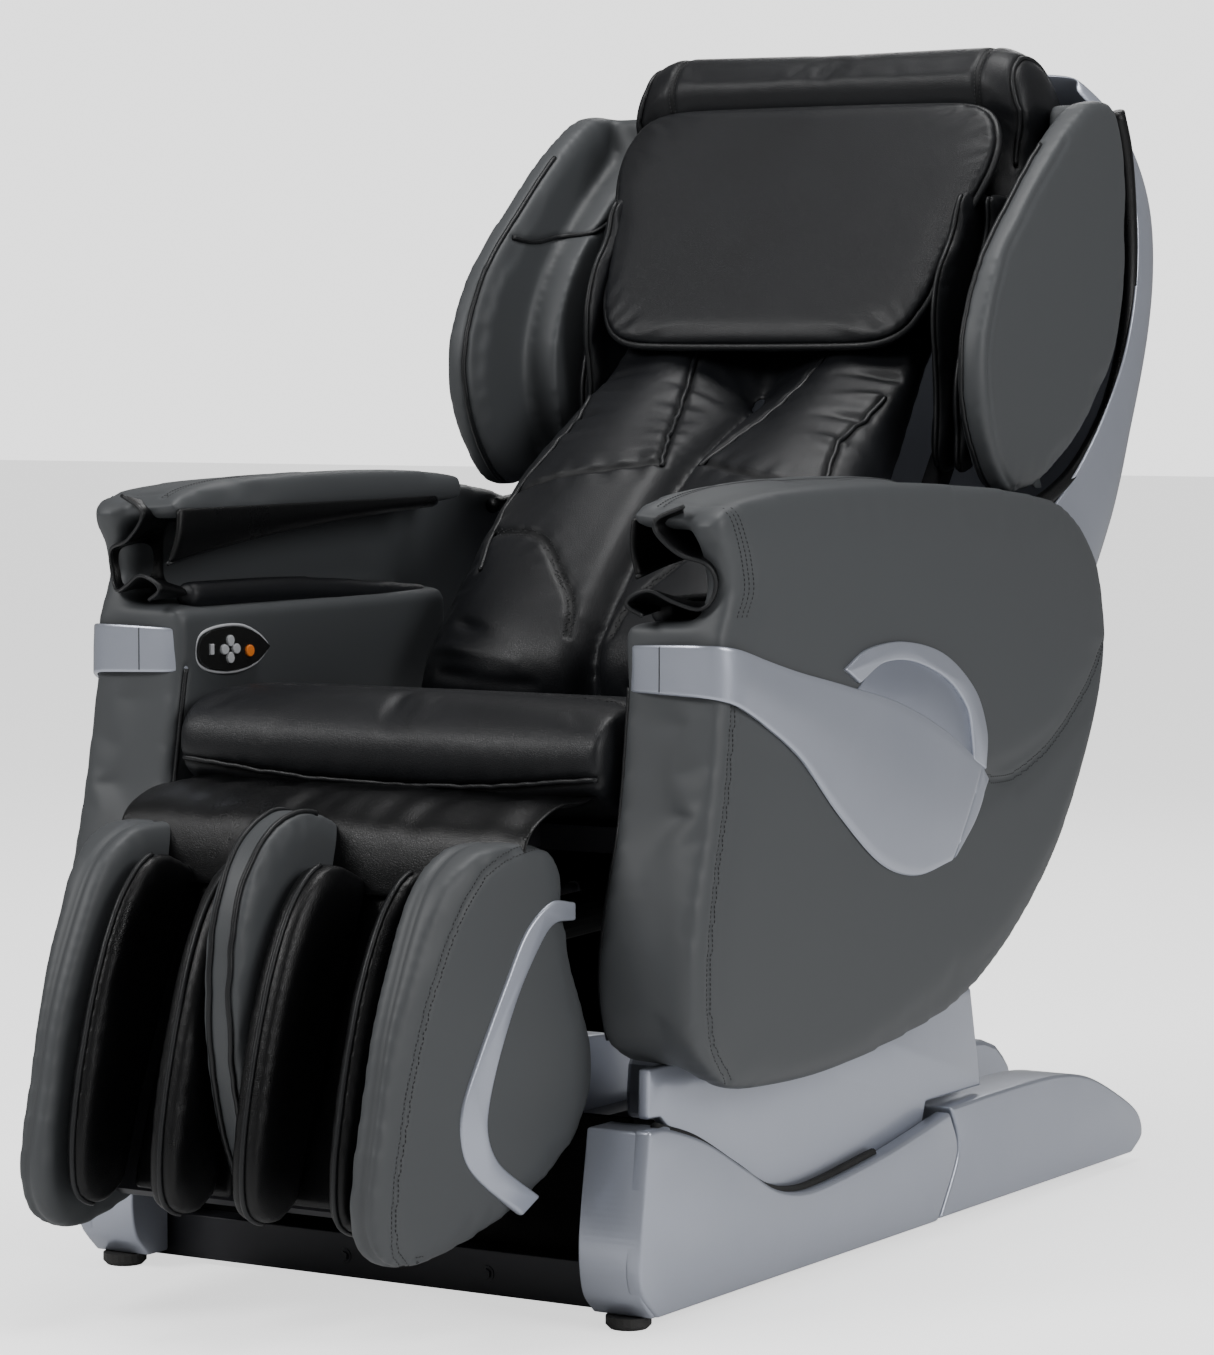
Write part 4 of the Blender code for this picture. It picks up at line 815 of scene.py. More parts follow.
def leather_group() -> bpy.types.NodeTree:
    """Grained leather: its tone, its gloss and the height of its pebbles, with painted shade in a seam's groove."""
    inputs = {
        "Place": None, "Deep": (0.02, 0.02, 0.02, 1.0), "Worn": (0.05, 0.05, 0.05, 1.0), "Crease": 0.0,
        "Pebbles": 520.0, "Gloss": 0.42,
    }
    outputs = {"Color": "NodeSocketColor", "Roughness": "NodeSocketFloat", "Height": "NodeSocketFloat"}
    group, sheet = new_group("grained_leather", inputs, outputs)
    given = sheet.add("NodeGroupInput").outputs
    cells = {"feature": "DISTANCE_TO_EDGE"}
    pebbles = sheet.add("ShaderNodeTexVoronoi", cells, Vector=given["Place"], Scale=given["Pebbles"])
    fine = sheet.add("ShaderNodeTexNoise", Vector=given["Place"], Scale=1400.0, Detail=3.0)
    broad = sheet.add("ShaderNodeTexNoise", Vector=given["Place"], Scale=6.0, Detail=4.0, Roughness=0.6)
    patch = sheet.add("ShaderNodeTexNoise", Vector=given["Place"], Scale=38.0, Detail=3.0)
    ridge = sheet.math("MINIMUM", sheet.math("MULTIPLY", pebbles.outputs["Distance"], 6.0), 1.0)
    raised, speckled = sheet.math("MULTIPLY", ridge, 0.8), sheet.math("MULTIPLY", fine.outputs["Fac"], 0.25)
    height = sheet.math("ADD", raised, speckled)
    wide = sheet.math("MULTIPLY", broad.outputs["Fac"], 0.7)
    small = sheet.math("MULTIPLY", patch.outputs["Fac"], 0.3)
    tone = sheet.math("ADD", wide, small)
    # Painted shade: the seam mask darkens the tone in a seam's groove.
    tone = sheet.math("SUBTRACT", tone, sheet.math("MULTIPLY", given["Crease"], 0.55))
    color = sheet.blend(sheet.add("ShaderNodeClamp", Value=tone).outputs[0], given["Deep"], given["Worn"])
    uneven = sheet.math("MULTIPLY", sheet.math("SUBTRACT", broad.outputs["Fac"], 0.5), 0.22)
    gloss = sheet.math("ADD", given["Gloss"], uneven)
    gloss = sheet.math("ADD", gloss, sheet.math("MULTIPLY", sheet.math("SUBTRACT", 1.0, ridge), 0.10))
    gloss = sheet.math("ADD", gloss, sheet.math("MULTIPLY", given["Crease"], 0.18))
    sheet.add("NodeGroupOutput", Color=color, Roughness=gloss, Height=height)
    return group


def moulded_group() -> bpy.types.NodeTree:
    """Moulded or painted surface: fine flake or spark texture, slight cloudiness and dust low down."""
    inputs = {
        "Place": None, "Base": (0.3, 0.3, 0.3, 1.0), "Cloud": 0.06, "Grain": 1500.0,
        "Gloss": 0.35, "Dust": 0.12,
    }
    outputs = {"Color": "NodeSocketColor", "Roughness": "NodeSocketFloat", "Height": "NodeSocketFloat"}
    group, sheet = new_group("moulded_surface", inputs, outputs)
    given = sheet.add("NodeGroupInput").outputs
    flakes = sheet.add("ShaderNodeTexNoise", Vector=given["Place"], Scale=given["Grain"], Detail=2.0)
    cloud = sheet.add("ShaderNodeTexNoise", Vector=given["Place"], Scale=9.0, Detail=3.0)
    apart = sheet.add("ShaderNodeSeparateXYZ", Vector=given["Place"])
    reach = {"From_Min": 0.0, "From_Max": 0.10, "To_Min": 1.0, "To_Max": 0.0}
    low = sheet.add("ShaderNodeMapRange", Value=apart.outputs["Z"], **reach)
    dust = sheet.math("MULTIPLY", sheet.math("MULTIPLY", low.outputs[0], cloud.outputs["Fac"]), given["Dust"])
    glint = sheet.math("MULTIPLY", sheet.math("SUBTRACT", flakes.outputs["Fac"], 0.5), given["Cloud"])
    haze = sheet.math("MULTIPLY", sheet.math("SUBTRACT", cloud.outputs["Fac"], 0.5), given["Cloud"])
    hazy = sheet.math("ADD", haze, glint)
    bright = sheet.add("ShaderNodeBrightContrast", Color=given["Base"], Bright=hazy)
    color = sheet.blend(dust, bright.outputs[0], (0.42, 0.40, 0.37, 1.0))
    gloss = sheet.math("ADD", given["Gloss"], sheet.math("ADD", dust, sheet.math("MULTIPLY", hazy, 0.8)))
    sheet.add("NodeGroupOutput", Color=color, Roughness=gloss, Height=flakes.outputs["Fac"])
    return group


GRAIN_HEIGHT = 0.0006
COAT_ROUGHNESS = 0.12
# How far painted shade darkens the colour and the reflection, and the near black that it mixes in.
SHADE_OF_COLOUR = 0.8
SHADE_OF_SHINE = 0.7
PAINTED_SHADE_BLACK = (0.001, 0.001, 0.0012, 1.0)
LEATHER_GROUP = leather_group()
MOULDED_GROUP = moulded_group()


@dataclass(frozen=True)
class Finish:
    """A surface finish.

    Attributes:
        name: The material's name.
        slot: The record's material slot that it belongs to; not used.
        deep: Its colour where it is darkest.
        worn: Its colour where it is lightest, for leather.
        gloss: Its roughness.
        metal: How metallic it is.
        coat: The weight of its clear coat.
        grain: The scale of its grain.
        bump: The strength of its grain.
        leather: Whether it is leather, and otherwise it is moulded.
        dust: How much dust lies on it near the floor, for a moulded surface.
        shine: The strength of its plain reflection.
    """

    name: str
    slot: str
    deep: tuple[float, float, float]
    worn: tuple[float, float, float] = (0.0, 0.0, 0.0)
    gloss: float = 0.4
    metal: float = 0.0
    coat: float = 0.0
    grain: float = 520.0
    bump: float = 0.25
    leather: bool = False
    dust: float = 0.10
    shine: float = 0.5

    def material(self) -> bpy.types.Material:
        """The finish's material, made on its first use."""
        made = bpy.data.materials.get(self.name)
        if made:
            return made
        made = bpy.data.materials.new(self.name)
        made.use_nodes = True
        sheet = Sheet(made.node_tree)
        shader = made.node_tree.nodes["Principled BSDF"]
        place = sheet.add("ShaderNodeTexCoord").outputs["Object"]
        if self.leather:
            # The seam mask, read for painted shade in seam grooves and for roughness.
            crease = sheet.add("ShaderNodeAttribute", {"attribute_name": "crease"}).outputs["Fac"]
            group = sheet.add("ShaderNodeGroup", {"node_tree": LEATHER_GROUP})
            values = {"Place": place, "Deep": (*self.deep, 1.0), "Worn": (*self.worn, 1.0), "Crease": crease}
            values |= {"Pebbles": self.grain, "Gloss": self.gloss}
        else:
            group = sheet.add("ShaderNodeGroup", {"node_tree": MOULDED_GROUP})
            values = {"Place": place, "Base": (*self.deep, 1.0), "Grain": self.grain, "Gloss": self.gloss}
            values |= {"Dust": self.dust}
        for name, value in values.items():
            if isinstance(value, bpy.types.NodeSocket):
                made.node_tree.links.new(value, group.inputs[name])
            else:
                group.inputs[name].default_value = value
        height = group.outputs["Height"]
        bump = sheet.add("ShaderNodeBump", Strength=self.bump, Distance=GRAIN_HEIGHT, Height=height)
        links = made.node_tree.links
        # Painted shade: the skin's shade mask mixes the colour towards near black.
        shade = sheet.add("ShaderNodeAttribute", {"attribute_name": "shade"}).outputs["Fac"]
        darkness = sheet.math("MULTIPLY", shade, SHADE_OF_COLOUR)
        tone = sheet.blend(darkness, group.outputs["Color"], PAINTED_SHADE_BLACK)
        links.new(tone, shader.inputs["Base Color"])
        links.new(group.outputs["Roughness"], shader.inputs["Roughness"])
        links.new(bump.outputs["Normal"], shader.inputs["Normal"])
        shader.inputs["Metallic"].default_value = self.metal
        shader.inputs["Coat Weight"].default_value = self.coat
        shader.inputs["Coat Roughness"].default_value = COAT_ROUGHNESS
        if self.leather:
            # Painted shade dims the leather's reflection too.
            kept = sheet.math("SUBTRACT", 1.0, sheet.math("MULTIPLY", shade, SHADE_OF_SHINE))
            shine_in_painted_shade = sheet.math("MULTIPLY", kept, self.shine)
            links.new(shine_in_painted_shade, shader.inputs["Specular IOR Level"])
        else:
            shader.inputs["Specular IOR Level"].default_value = self.shine
        return made

    def dress(self, piece: bpy.types.Object) -> bpy.types.Object:
        """Gives a piece this finish alone."""
        piece.data.materials.clear()
        piece.data.materials.append(self.material())
        for polygon in piece.data.polygons:
            polygon.material_index = 0
        return piece


BODY_LEATHER = Finish(
    "body_leather", "charcoal_leather", (0.0035, 0.0038, 0.0046), (0.0088, 0.0096, 0.0120), 0.38,
    leather=True, shine=0.34,
)
PANEL_LEATHER = Finish(
    "panel_leather", "panel_leather", (0.0034, 0.0039, 0.0046), (0.0060, 0.0069, 0.0081), 0.50,
    leather=True, shine=0.12,
)
LINING_LEATHER = Finish(
    "lining_leather", "charcoal_leather", (0.0015, 0.0015, 0.0018), (0.0036, 0.0038, 0.0044), 0.30,
    leather=True, shine=0.30,
)
PIPING_LEATHER = Finish(
    "piping_leather", "charcoal_leather", (0.0060, 0.0064, 0.0072), (0.0120, 0.0128, 0.0145), 0.34,
    leather=True, shine=0.36,
)
THREAD = Finish(
    "thread", "charcoal_leather", (0.020, 0.021, 0.023), gloss=0.75, grain=3000.0, bump=0.5, dust=0.0
)
SILVER_PAINT = Finish(
    "silver_paint", "silver_plastic", (0.40, 0.425, 0.495), gloss=0.33, metal=0.60, coat=0.40, grain=2200.0,
    bump=0.04,
)
# A darker, less shiny copy of the silver paint: painted shade for the recessed disc.
SILVER_IN_PAINTED_SHADE = Finish(
    "silver_in_painted_shade", "silver_plastic", (0.27, 0.29, 0.35), gloss=0.42, metal=0.60, coat=0.20, grain=2200.0,
    bump=0.04,
)
BLACK_GLOSS = Finish(
    "black_gloss", "black_gloss", (0.006, 0.006, 0.007), gloss=0.10, coat=0.6, grain=900.0, bump=0.02
)
BLACK_PLASTIC = Finish(
    "black_plastic", "black_plastic", (0.020, 0.020, 0.021), gloss=0.52, grain=1600.0, bump=0.35
)
SCREEN_CLOTH = Finish(
    "screen_cloth", "charcoal_leather", (0.004, 0.004, 0.004), gloss=0.85, grain=2600.0, bump=0.5, dust=0.02,
    shine=0.1,
)
GREY_BUTTON = Finish(
    "grey_button", "grey_button", (0.42, 0.43, 0.46), gloss=0.38, metal=0.2, grain=1800.0, bump=0.06
)
ORANGE_BUTTON = Finish(
    "orange_button", "orange_button", (0.80, 0.20, 0.03), gloss=0.34, grain=1800.0, bump=0.05
)
FRAME_STEEL = Finish(
    "frame_steel", "frame_steel", (0.012, 0.012, 0.013), gloss=0.42, metal=0.1, grain=1100.0, bump=0.3
)
ZINC_STEEL = Finish("zinc_steel", "zinc_steel", (0.50, 0.51, 0.53), gloss=0.30, metal=1.0, grain=1300.0, bump=0.08)
BLACK_RUBBER = Finish("black_rubber", "rubber", (0.012, 0.012, 0.012), gloss=0.78, grain=1500.0, bump=0.4)

FINISH_OF_SLOT = {
    "charcoal_leather": BODY_LEATHER,
    "panel_leather": PANEL_LEATHER,
    "silver_plastic": SILVER_PAINT,
    "black_gloss": BLACK_GLOSS,
    "black_plastic": BLACK_PLASTIC,
    "grey_button": GREY_BUTTON,
    "orange_button": ORANGE_BUTTON,
    "frame_steel": FRAME_STEEL,
    "zinc_steel": ZINC_STEEL,
    "rubber": BLACK_RUBBER,
}


def finish_frame_nodes() -> None:
    """Dresses every carried-over node in the finish of its own slot."""
    for entry in frame["record"]["subparts"]:
        node = frame["nodes"][entry["node"]]
        FINISH_OF_SLOT[entry["material_slot"]].dress(node)


def settle(piece: bpy.types.Object, body: str, finish: Finish, *nodes: str) -> bpy.types.Object:
    """Dresses a finished piece, lets it ride on a body and hides the nodes that it stands for."""
    finish.dress(piece)
    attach(piece, body)
    if nodes:
        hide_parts(*nodes)
    LOG.info("%s rides on %s: %d points", piece.name, body, len(piece.data.vertices))
    return piece


def settle_trimmings(name: str, body: str, extras: Sequence[bpy.types.Object]) -> None:
    """Joins the piping and the stitches of a piece into one object each and settles them."""
    piping = [e for e in extras if e.name.startswith("piping")]
    thread = [e for e in extras if not e.name.startswith("piping")]
    if piping:
        made = join_pieces(f"{name}_piping", piping)
        made.data.shade_smooth()
        settle(made, body, PIPING_LEATHER)
    if thread:
        made = join_pieces(f"{name}_stitching", thread)
        made.data.shade_smooth()
        settle(made, body, THREAD)


# ---------------------------------------------------------------- arms


@dataclass
class ArmPod:
    """A padded arm: its shell and post, the airbag sleeve in its channel, and its silver band."""

    inner: float = 0.2625
    rear_inner: float = 0.3385
    outer: float = 0.3720
    shell_rounding: float = 0.030
    post_rounding: float = 0.007
    top_seam_x: float = 0.292
    edge_back: float = 0.014
    channel_reach: float = 0.345
    channel_floor: float = 0.655
    channel_roof: float = 0.758
    channel_rear: float = 0.130
    padding: Padding = Padding(voxel=0.0075, pressure=3.0, cap=0.0035)

    outline = (
        (-0.3695, 0.652), (-0.372, 0.600), (-0.392, 0.480), (-0.415, 0.400), (-0.424, 0.330),
        (-0.412, 0.268), (-0.360, 0.226), (-0.260, 0.214), (-0.130, 0.211), (0.030, 0.227),
        (0.130, 0.246), (0.215, 0.281), (0.305, 0.338), (0.377, 0.406), (0.438, 0.499), (0.470, 0.585),
        (0.472, 0.650), (0.447, 0.706), (0.372, 0.758), (0.250, 0.778), (0.120, 0.787), (-0.030, 0.793),
        (-0.200, 0.791), (-0.310, 0.784), (-0.362, 0.773), (-0.377, 0.759), (-0.358, 0.724),
        (-0.352, 0.692),
    )
    post = (
        (-0.3695, 0.664, CORNER), (-0.371, 0.600), (-0.391, 0.480), (-0.414, 0.400), (-0.423, 0.330),
        (-0.411, 0.268), (-0.375, 0.245, CORNER), (0.080, 0.245, CORNER), (0.118, 0.300), (0.122, 0.450),
        (0.120, 0.664, CORNER),
    )
    roof = (
        (-0.372, 0.760), (-0.360, 0.772), (-0.310, 0.783), (-0.200, 0.790), (-0.030, 0.792), (0.120, 0.786),
        (0.165, 0.780, CORNER), (0.165, 0.757, CORNER), (-0.355, 0.7535, CORNER),
    )
    cuff_edge = ((-0.362, 0.776), (-0.352, 0.752), (-0.338, 0.722), (-0.332, 0.694), (-0.345, 0.668))
    cuff_rows = (0.004, 0.011, 0.018)
    top_seam = (-0.352, -0.20, 0.0, 0.158)
    corner_seam = (
        (-0.349, 0.592), (-0.363, 0.500), (-0.383, 0.420), (-0.395, 0.340), (-0.388, 0.272),
        (-0.352, 0.229),
    )
    rear_seam = ((0.170, 0.478), (0.232, 0.474), (0.327, 0.502), (0.412, 0.555), (0.462, 0.606))
    mouth = (
        (0.330, -0.372, 0.774), (0.299, -0.378, 0.757), (0.323, -0.372, 0.729), (0.350, -0.364, 0.720),
        (0.356, -0.356, 0.700), (0.345, -0.362, 0.677), (0.320, -0.376, 0.684), (0.297, -0.384, 0.695),
        (0.272, -0.385, 0.682), (0.290, -0.380, 0.670),
    )
    throat = (
        (0.286, -0.300, 0.752), (0.300, -0.300, 0.750), (0.322, -0.300, 0.747), (0.331, -0.300, 0.735),
        (0.332, -0.300, 0.710), (0.331, -0.300, 0.688), (0.320, -0.300, 0.678), (0.305, -0.300, 0.675),
        (0.288, -0.300, 0.674), (0.272, -0.300, 0.674),
    )
    lip_top = ((0.268, -0.362, 0.762), (0.268, -0.2, 0.762), (0.268, 0.0, 0.762), (0.268, 0.108, 0.762))
    lip_hem = (
        (0.276, -0.368, 0.706), (0.274, -0.300, 0.718), (0.273, -0.15, 0.736), (0.272, 0.03, 0.750),
        (0.270, 0.108, 0.754),
    )
    roll = ((0.281, -0.335, 0.672), (0.281, -0.15, 0.670), (0.281, 0.0, 0.660), (0.281, 0.100, 0.652))
    roll_radius: float = 0.016

    def shell(self) -> bpy.types.Object:
        """The bare shape of the left arm: flank, post and roof in one."""
        rounding = self.shell_rounding
        flank = slab("flank", self.outline, self.rear_inner, self.outer, step=0.012, top_bevel=rounding)
        post = slab("post", self.post, self.inner, 0.350, step=0.012, bottom_bevel=self.post_rounding)
        roof = slab("roof", self.roof, self.inner + 0.004, 0.352, step=0.012, bottom_bevel=self.post_rounding)
        return join_pieces("left_arm_pod", [flank, post, roof])

    def seams(self) -> list[Seam]:
        """The seams of the left arm."""
        side = (-1.0, 0.0, 0.0)
        rows = [
            Seam(
                tuple((self.outer, y + gap, z) for y, z in self.cuff_edge), side, SeamKind.TOPSTITCH, 0.0008, 0.005
            )
            for gap in self.cuff_rows
        ]
        down = Seam(tuple((self.outer, y, z) for y, z in self.corner_seam), side)
        rear = Seam(tuple((self.outer, y, z) for y, z in self.rear_seam), side)
        top = Seam(tuple((self.top_seam_x, y, 0.80) for y in self.top_seam), (0.0, 0.0, -1.0))
        edge = tuple((self.inner, y + self.edge_back, z) for y, z in self.post_front())
        inner_edge = Seam(edge, (1.0, 0.0, 0.0), SeamKind.PIPED, 0.002)
        return [*rows, down, rear, top, inner_edge]

    def post_front(self) -> list[Point]:
        """The front edge of the post below the band."""
        return [(place[0], place[1]) for place in self.post[1:6]]

    def upholster(self, room: SewingRoom) -> bpy.types.Object:
        """Prepares the left arm's shell for filling."""
        piece = self.shell()
        held = [spline_through([Vector(p) for p in seam.points], SEAM_STEP) for seam in self.seams()[3:6]]
        room.stretch_skin(piece, self.padding, held, rounding=4)
        return piece

    def paint_shade_inside(self, pod: bpy.types.Object) -> None:
        """Paints shade inside the channel and on the arm's inward-facing skin."""
        places, facing = points_of(pod), normals_of(pod)
        # Painted shade: skin that faces inward darkens, and the inside of the channel darkens more.
        inward = np.clip(-facing[:, 0] * 1.6 - 0.3, 0, 1) * 0.85
        x, y, z = places.T
        between = (z > self.channel_floor) & (z < self.channel_roof)
        inside = between & (x < self.channel_reach) & (y < self.channel_rear)
        paint_shade_on_skin(pod, np.maximum(inward, inside * 0.95))

    def sleeve(self) -> list[bpy.types.Object]:
        """The left sleeve: its folded mouth, its hanging lip and the pipings of both."""
        count = 60
        mouth, throat = even_path(self.mouth, count), even_path(self.throat, count)
        between = [m.lerp(t, 0.45) for m, t in zip(mouth, throat)]
        lip = lofted_sheet("mouth", [mouth, between, throat], 10, 0.004)
        edge = tube("piping", smoothed(mouth), 0.0021)
        hem = even_path(self.lip_hem, 40)
        curtain = lofted_sheet("curtain", [even_path(self.lip_top, 40), hem], 8, 0.007, bulge=0.004)
        hem_edge = tube("piping", hem, 0.0024)
        return [lip, curtain, edge, hem_edge]

    def lower_roll(self, room: SewingRoom) -> bpy.types.Object:
        """The sausage-shaped airbag along the channel's floor."""
        roll = tube("left_sleeve_roll", even_path(self.roll, 30), self.roll_radius, sides=7)
        room.stretch_skin(roll, Padding(voxel=0.006, cap=0.003), rounding=6)
        return roll

    def finish_side(self, side: Side, pod: bpy.types.Object, roll: bpy.types.Object) -> None:
        """Dresses one side's arm.

        Args:
            side: The side of the chair.
            pod: Its filled shell.
            roll: Its filled sleeve roll.
        """
        word = side.word
        settle(pod, "seat", PANEL_LEATHER, f"{word}_arm_shell", f"{word}_armrest", f"{word}_cuff_pad")
        settle(roll, "seat", BODY_LEATHER)

    def build(self, room: SewingRoom) -> Callable[[], None]:
        """Prepares both arms.

        Args:
            room: Where the padded shapes are filled.

        Returns:
            What to do once they are filled.
        """
        pod, roll = self.upholster(room), self.lower_roll(room)

        def after() -> None:
            extras = sew(pod, self.seams())
            self.paint_shade_inside(pod)
            soft = self.sleeve()
            lining = join_pieces("left_sleeve", soft[:2])
            pipes = extras + soft[2:]
            names = {"pod": pod, "roll": roll, "lining": lining}
            twins = {key: copy_to_other_side(p, p.name.replace("left", "right")) for key, p in names.items()}
            twin_extras = [copy_to_other_side(e, e.name.split(".")[0]) for e in pipes]
            self.finish_side(Side.LEFT, pod, roll)
            self.finish_side(Side.RIGHT, twins["pod"], twins["roll"])
            for sheet in (lining, twins["lining"]):
                settle(sheet, "seat", LINING_LEATHER)
            settle_trimmings("left_arm", "seat", pipes)
            settle_trimmings("right_arm", "seat", twin_extras)
            for side in Side:
                ArmBand(side).build()

        return after


@dataclass
class ArmBand:
    """The silver band of an arm, with its teardrop plate, half-moon ring and recessed disc."""

    side: Side
    foot: float = 0.3722
    thickness: float = 0.0050
    columns: int = 90

    top_edge = (
        (0.2640, -0.318, 0.640), (0.2630, -0.352, 0.641), (0.2720, -0.366, 0.6415),
        (0.300, -0.3735, 0.643), (0.335, -0.3765, 0.644), (0.356, -0.3745, 0.644), (0.370, -0.364, 0.643),
        (0.3765, -0.345, 0.639), (0.3768, -0.300, 0.6275), (0.3768, -0.233, 0.6120),
        (0.3768, -0.130, 0.592), (0.3768, -0.027, 0.570), (0.3768, 0.070, 0.537), (0.3768, 0.158, 0.494),
    )
    low_edge = (
        (0.2640, -0.318, 0.598), (0.2630, -0.352, 0.597), (0.2720, -0.366, 0.5965), (0.300, -0.3735, 0.596),
        (0.335, -0.3765, 0.595), (0.356, -0.3745, 0.594), (0.370, -0.366, 0.591), (0.3765, -0.350, 0.585),
        (0.3768, -0.305, 0.566), (0.3768, -0.232, 0.528), (0.3768, -0.152, 0.466), (0.3768, -0.066, 0.411),
        (0.3768, 0.010, 0.3915), (0.3768, 0.090, 0.400),
    )
    tail = ((0.3768, 0.158, 0.494), (0.3768, 0.163, 0.468), (0.3768, 0.140, 0.436), (0.3768, 0.090, 0.400))
    ring = (
        (-0.142, 0.609, CORNER), (-0.095, 0.6265), (-0.017, 0.630), (0.070, 0.6125), (0.138, 0.572),
        (0.165, 0.527), (0.163, 0.488, CORNER), (0.134, 0.500, CORNER), (0.133, 0.516), (0.121, 0.553),
        (0.076, 0.586), (0.0, 0.609), (-0.064, 0.611), (-0.112, 0.594, CORNER),
    )
    disc_outline = (
        (-0.118, 0.586, CORNER), (-0.064, 0.612), (0.0, 0.6105), (0.076, 0.588), (0.122, 0.555),
        (0.135, 0.516), (0.136, 0.485, CORNER), (0.07, 0.520), (0.0, 0.550),
    )
    joint_line = ((0.306, -0.3768, 0.5985), (0.306, -0.3768, 0.620), (0.306, -0.3768, 0.6415))
    tab = ((0.150, 0.497, CORNER), (0.170, 0.478, CORNER), (0.150, 0.452, CORNER), (0.134, 0.470, CORNER))

    def plate(self) -> bpy.types.Object:
        """The band that turns round the front corner and runs back into the teardrop."""
        top = even_path(self.top_edge, self.columns)
        low = even_path(self.low_edge, self.columns)
        middle = [t.lerp(b, 0.5) for t, b in zip(top, low)]
        for spot in middle:
            spot.x += 0.0016 if spot.y > -0.34 else 0.0008
        tail = even_path(self.tail, 12)
        sheet = lofted_sheet("band", [top, middle, low], 14, self.thickness)
        rear = even_path([self.top_edge[-1], (0.3768, 0.124, 0.447), self.low_edge[-1]], 12)
        end = lofted_sheet("band_tail", [rear, tail], 4, self.thickness)
        return join_pieces("band", [sheet, end])

    def build(self) -> None:
        """Builds and dresses this side's band."""
        plate = self.plate()
        ring = slab("ring", self.ring, self.foot, 0.3798, step=0.005, top_bevel=0.0022, segments=3)
        disc_plate = slab("disc", self.disc_outline, 0.3721, 0.3764, step=0.006, top_bevel=0.0006, segments=2)
        tab = slab("tab", self.tab, self.foot, 0.3792, step=0.004, top_bevel=0.0015, segments=2)
        band = join_pieces("left_arm_band", [plate, ring, tab])
        smooth_shading(band)
        smooth_shading(disc_plate)
        disc_plate.name = "left_arm_disc"
        line = tube("left_band_joint", [Vector(p) for p in self.joint_line], 0.0006)
        if self.side is Side.RIGHT:
            pair = [copy_to_other_side(p, p.name.replace("left", "right")) for p in (band, line, disc_plate)]
            for piece in (band, line, disc_plate):
                bpy.data.objects.remove(piece)
            band, line, disc_plate = pair
        settle(band, "seat", SILVER_PAINT, f"{self.side.word}_arm_trim")
        # The recessed disc takes the darker copy of the silver: painted shade.
        settle(disc_plate, "seat", SILVER_IN_PAINTED_SHADE)
        settle(line, "seat", BLACK_PLASTIC)


# ---------------------------------------------------------------- seat


@dataclass
class SeatUnit:
    """The seat cushion with its front roll, and the gathered apron under it."""

    half: float = 0.2500
    rounding: float = 0.016
    apron_half: float = 0.236
    padding: Padding = Padding(voxel=0.006, pressure=4.0, cap=0.009, looseness=0.01)

    outline = (
        (-0.370, 0.490), (-0.392, 0.508), (-0.394, 0.543), (-0.370, 0.568), (-0.330, 0.577),
        (-0.240, 0.572), (-0.050, 0.541), (0.050, 0.521, CORNER), (0.058, 0.4675, CORNER),
        (-0.345, 0.4675, CORNER),
    )

    apron_rows = (
        (-0.355, 0.497, 0.0), (-0.380, 0.494, 0.003), (-0.405, 0.490, 0.005), (-0.432, 0.492, 0.006),
        (-0.462, 0.486, 0.006), (-0.492, 0.470, 0.004), (-0.506, 0.440, 0.002), (-0.512, 0.405, 0.0),
    )
    low_seam = ((-0.244, 0.513), (-0.12, 0.500), (0, 0.496), (0.12, 0.500), (0.244, 0.513))
    roll_seam = ((-0.243, -0.318), (-0.12, -0.300), (0, -0.296), (0.12, -0.300), (0.243, -0.318))
    middle_seam = ((0.0, -0.290, 0.62), (0.0, -0.15, 0.62), (0.0, 0.030, 0.62))

    def seams(self) -> list[Seam]:
        """The piped seam under the front roll, the seam behind it and the middle seam."""
        ahead = tuple((x, -0.42, z) for x, z in self.low_seam)
        above = tuple((x, y, 0.62) for x, y in self.roll_seam)
        down = (0.0, 0.0, -1.0)
        return [
            Seam(ahead, (0.0, 1.0, 0.0), SeamKind.PIPED, 0.004, 0.010, 0.0010),
            Seam(above, down, SeamKind.DOUBLE, 0.004, 0.010, 0.0012),
            Seam(self.middle_seam, down, depth=0.004, pucker=0.001),
        ]

    def build(self, room: SewingRoom) -> Callable[[], None]:
        """Prepares the seat."""
        piece = slab(
            "seat_upholstery", self.outline, -self.half, self.half, step=0.012, top_bevel=self.rounding,
            bottom_bevel=self.rounding,
        )
        room.stretch_skin(piece, self.padding, rounding=5)

        def after() -> None:
            extras = sew(piece, self.seams())
            settle(piece, "seat", BODY_LEATHER, "seat_cushion")
            settle_trimmings("seat", "seat", extras)
            self.apron()

        return after

    def apron(self) -> None:
        """The gathered apron that hangs from the seat to the calf rest."""
        count = 80
        rails = []
        for y, z, sag in self.apron_rows:
            rail = []
            for k in range(count):
                x = -self.apron_half + 2 * self.apron_half * k / (count - 1)
                fold = noise.noise(Vector((x * 34, y * 6, 0.7))) * sag
                rail.append(Vector((x, y + fold * 0.5, z + fold)))
            rails.append(rail)
        sheet = lofted_sheet("seat_apron", rails, 26, 0.003)
        LINING_LEATHER.dress(sheet)
        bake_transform(sheet)


# ---------------------------------------------------------------- backrest


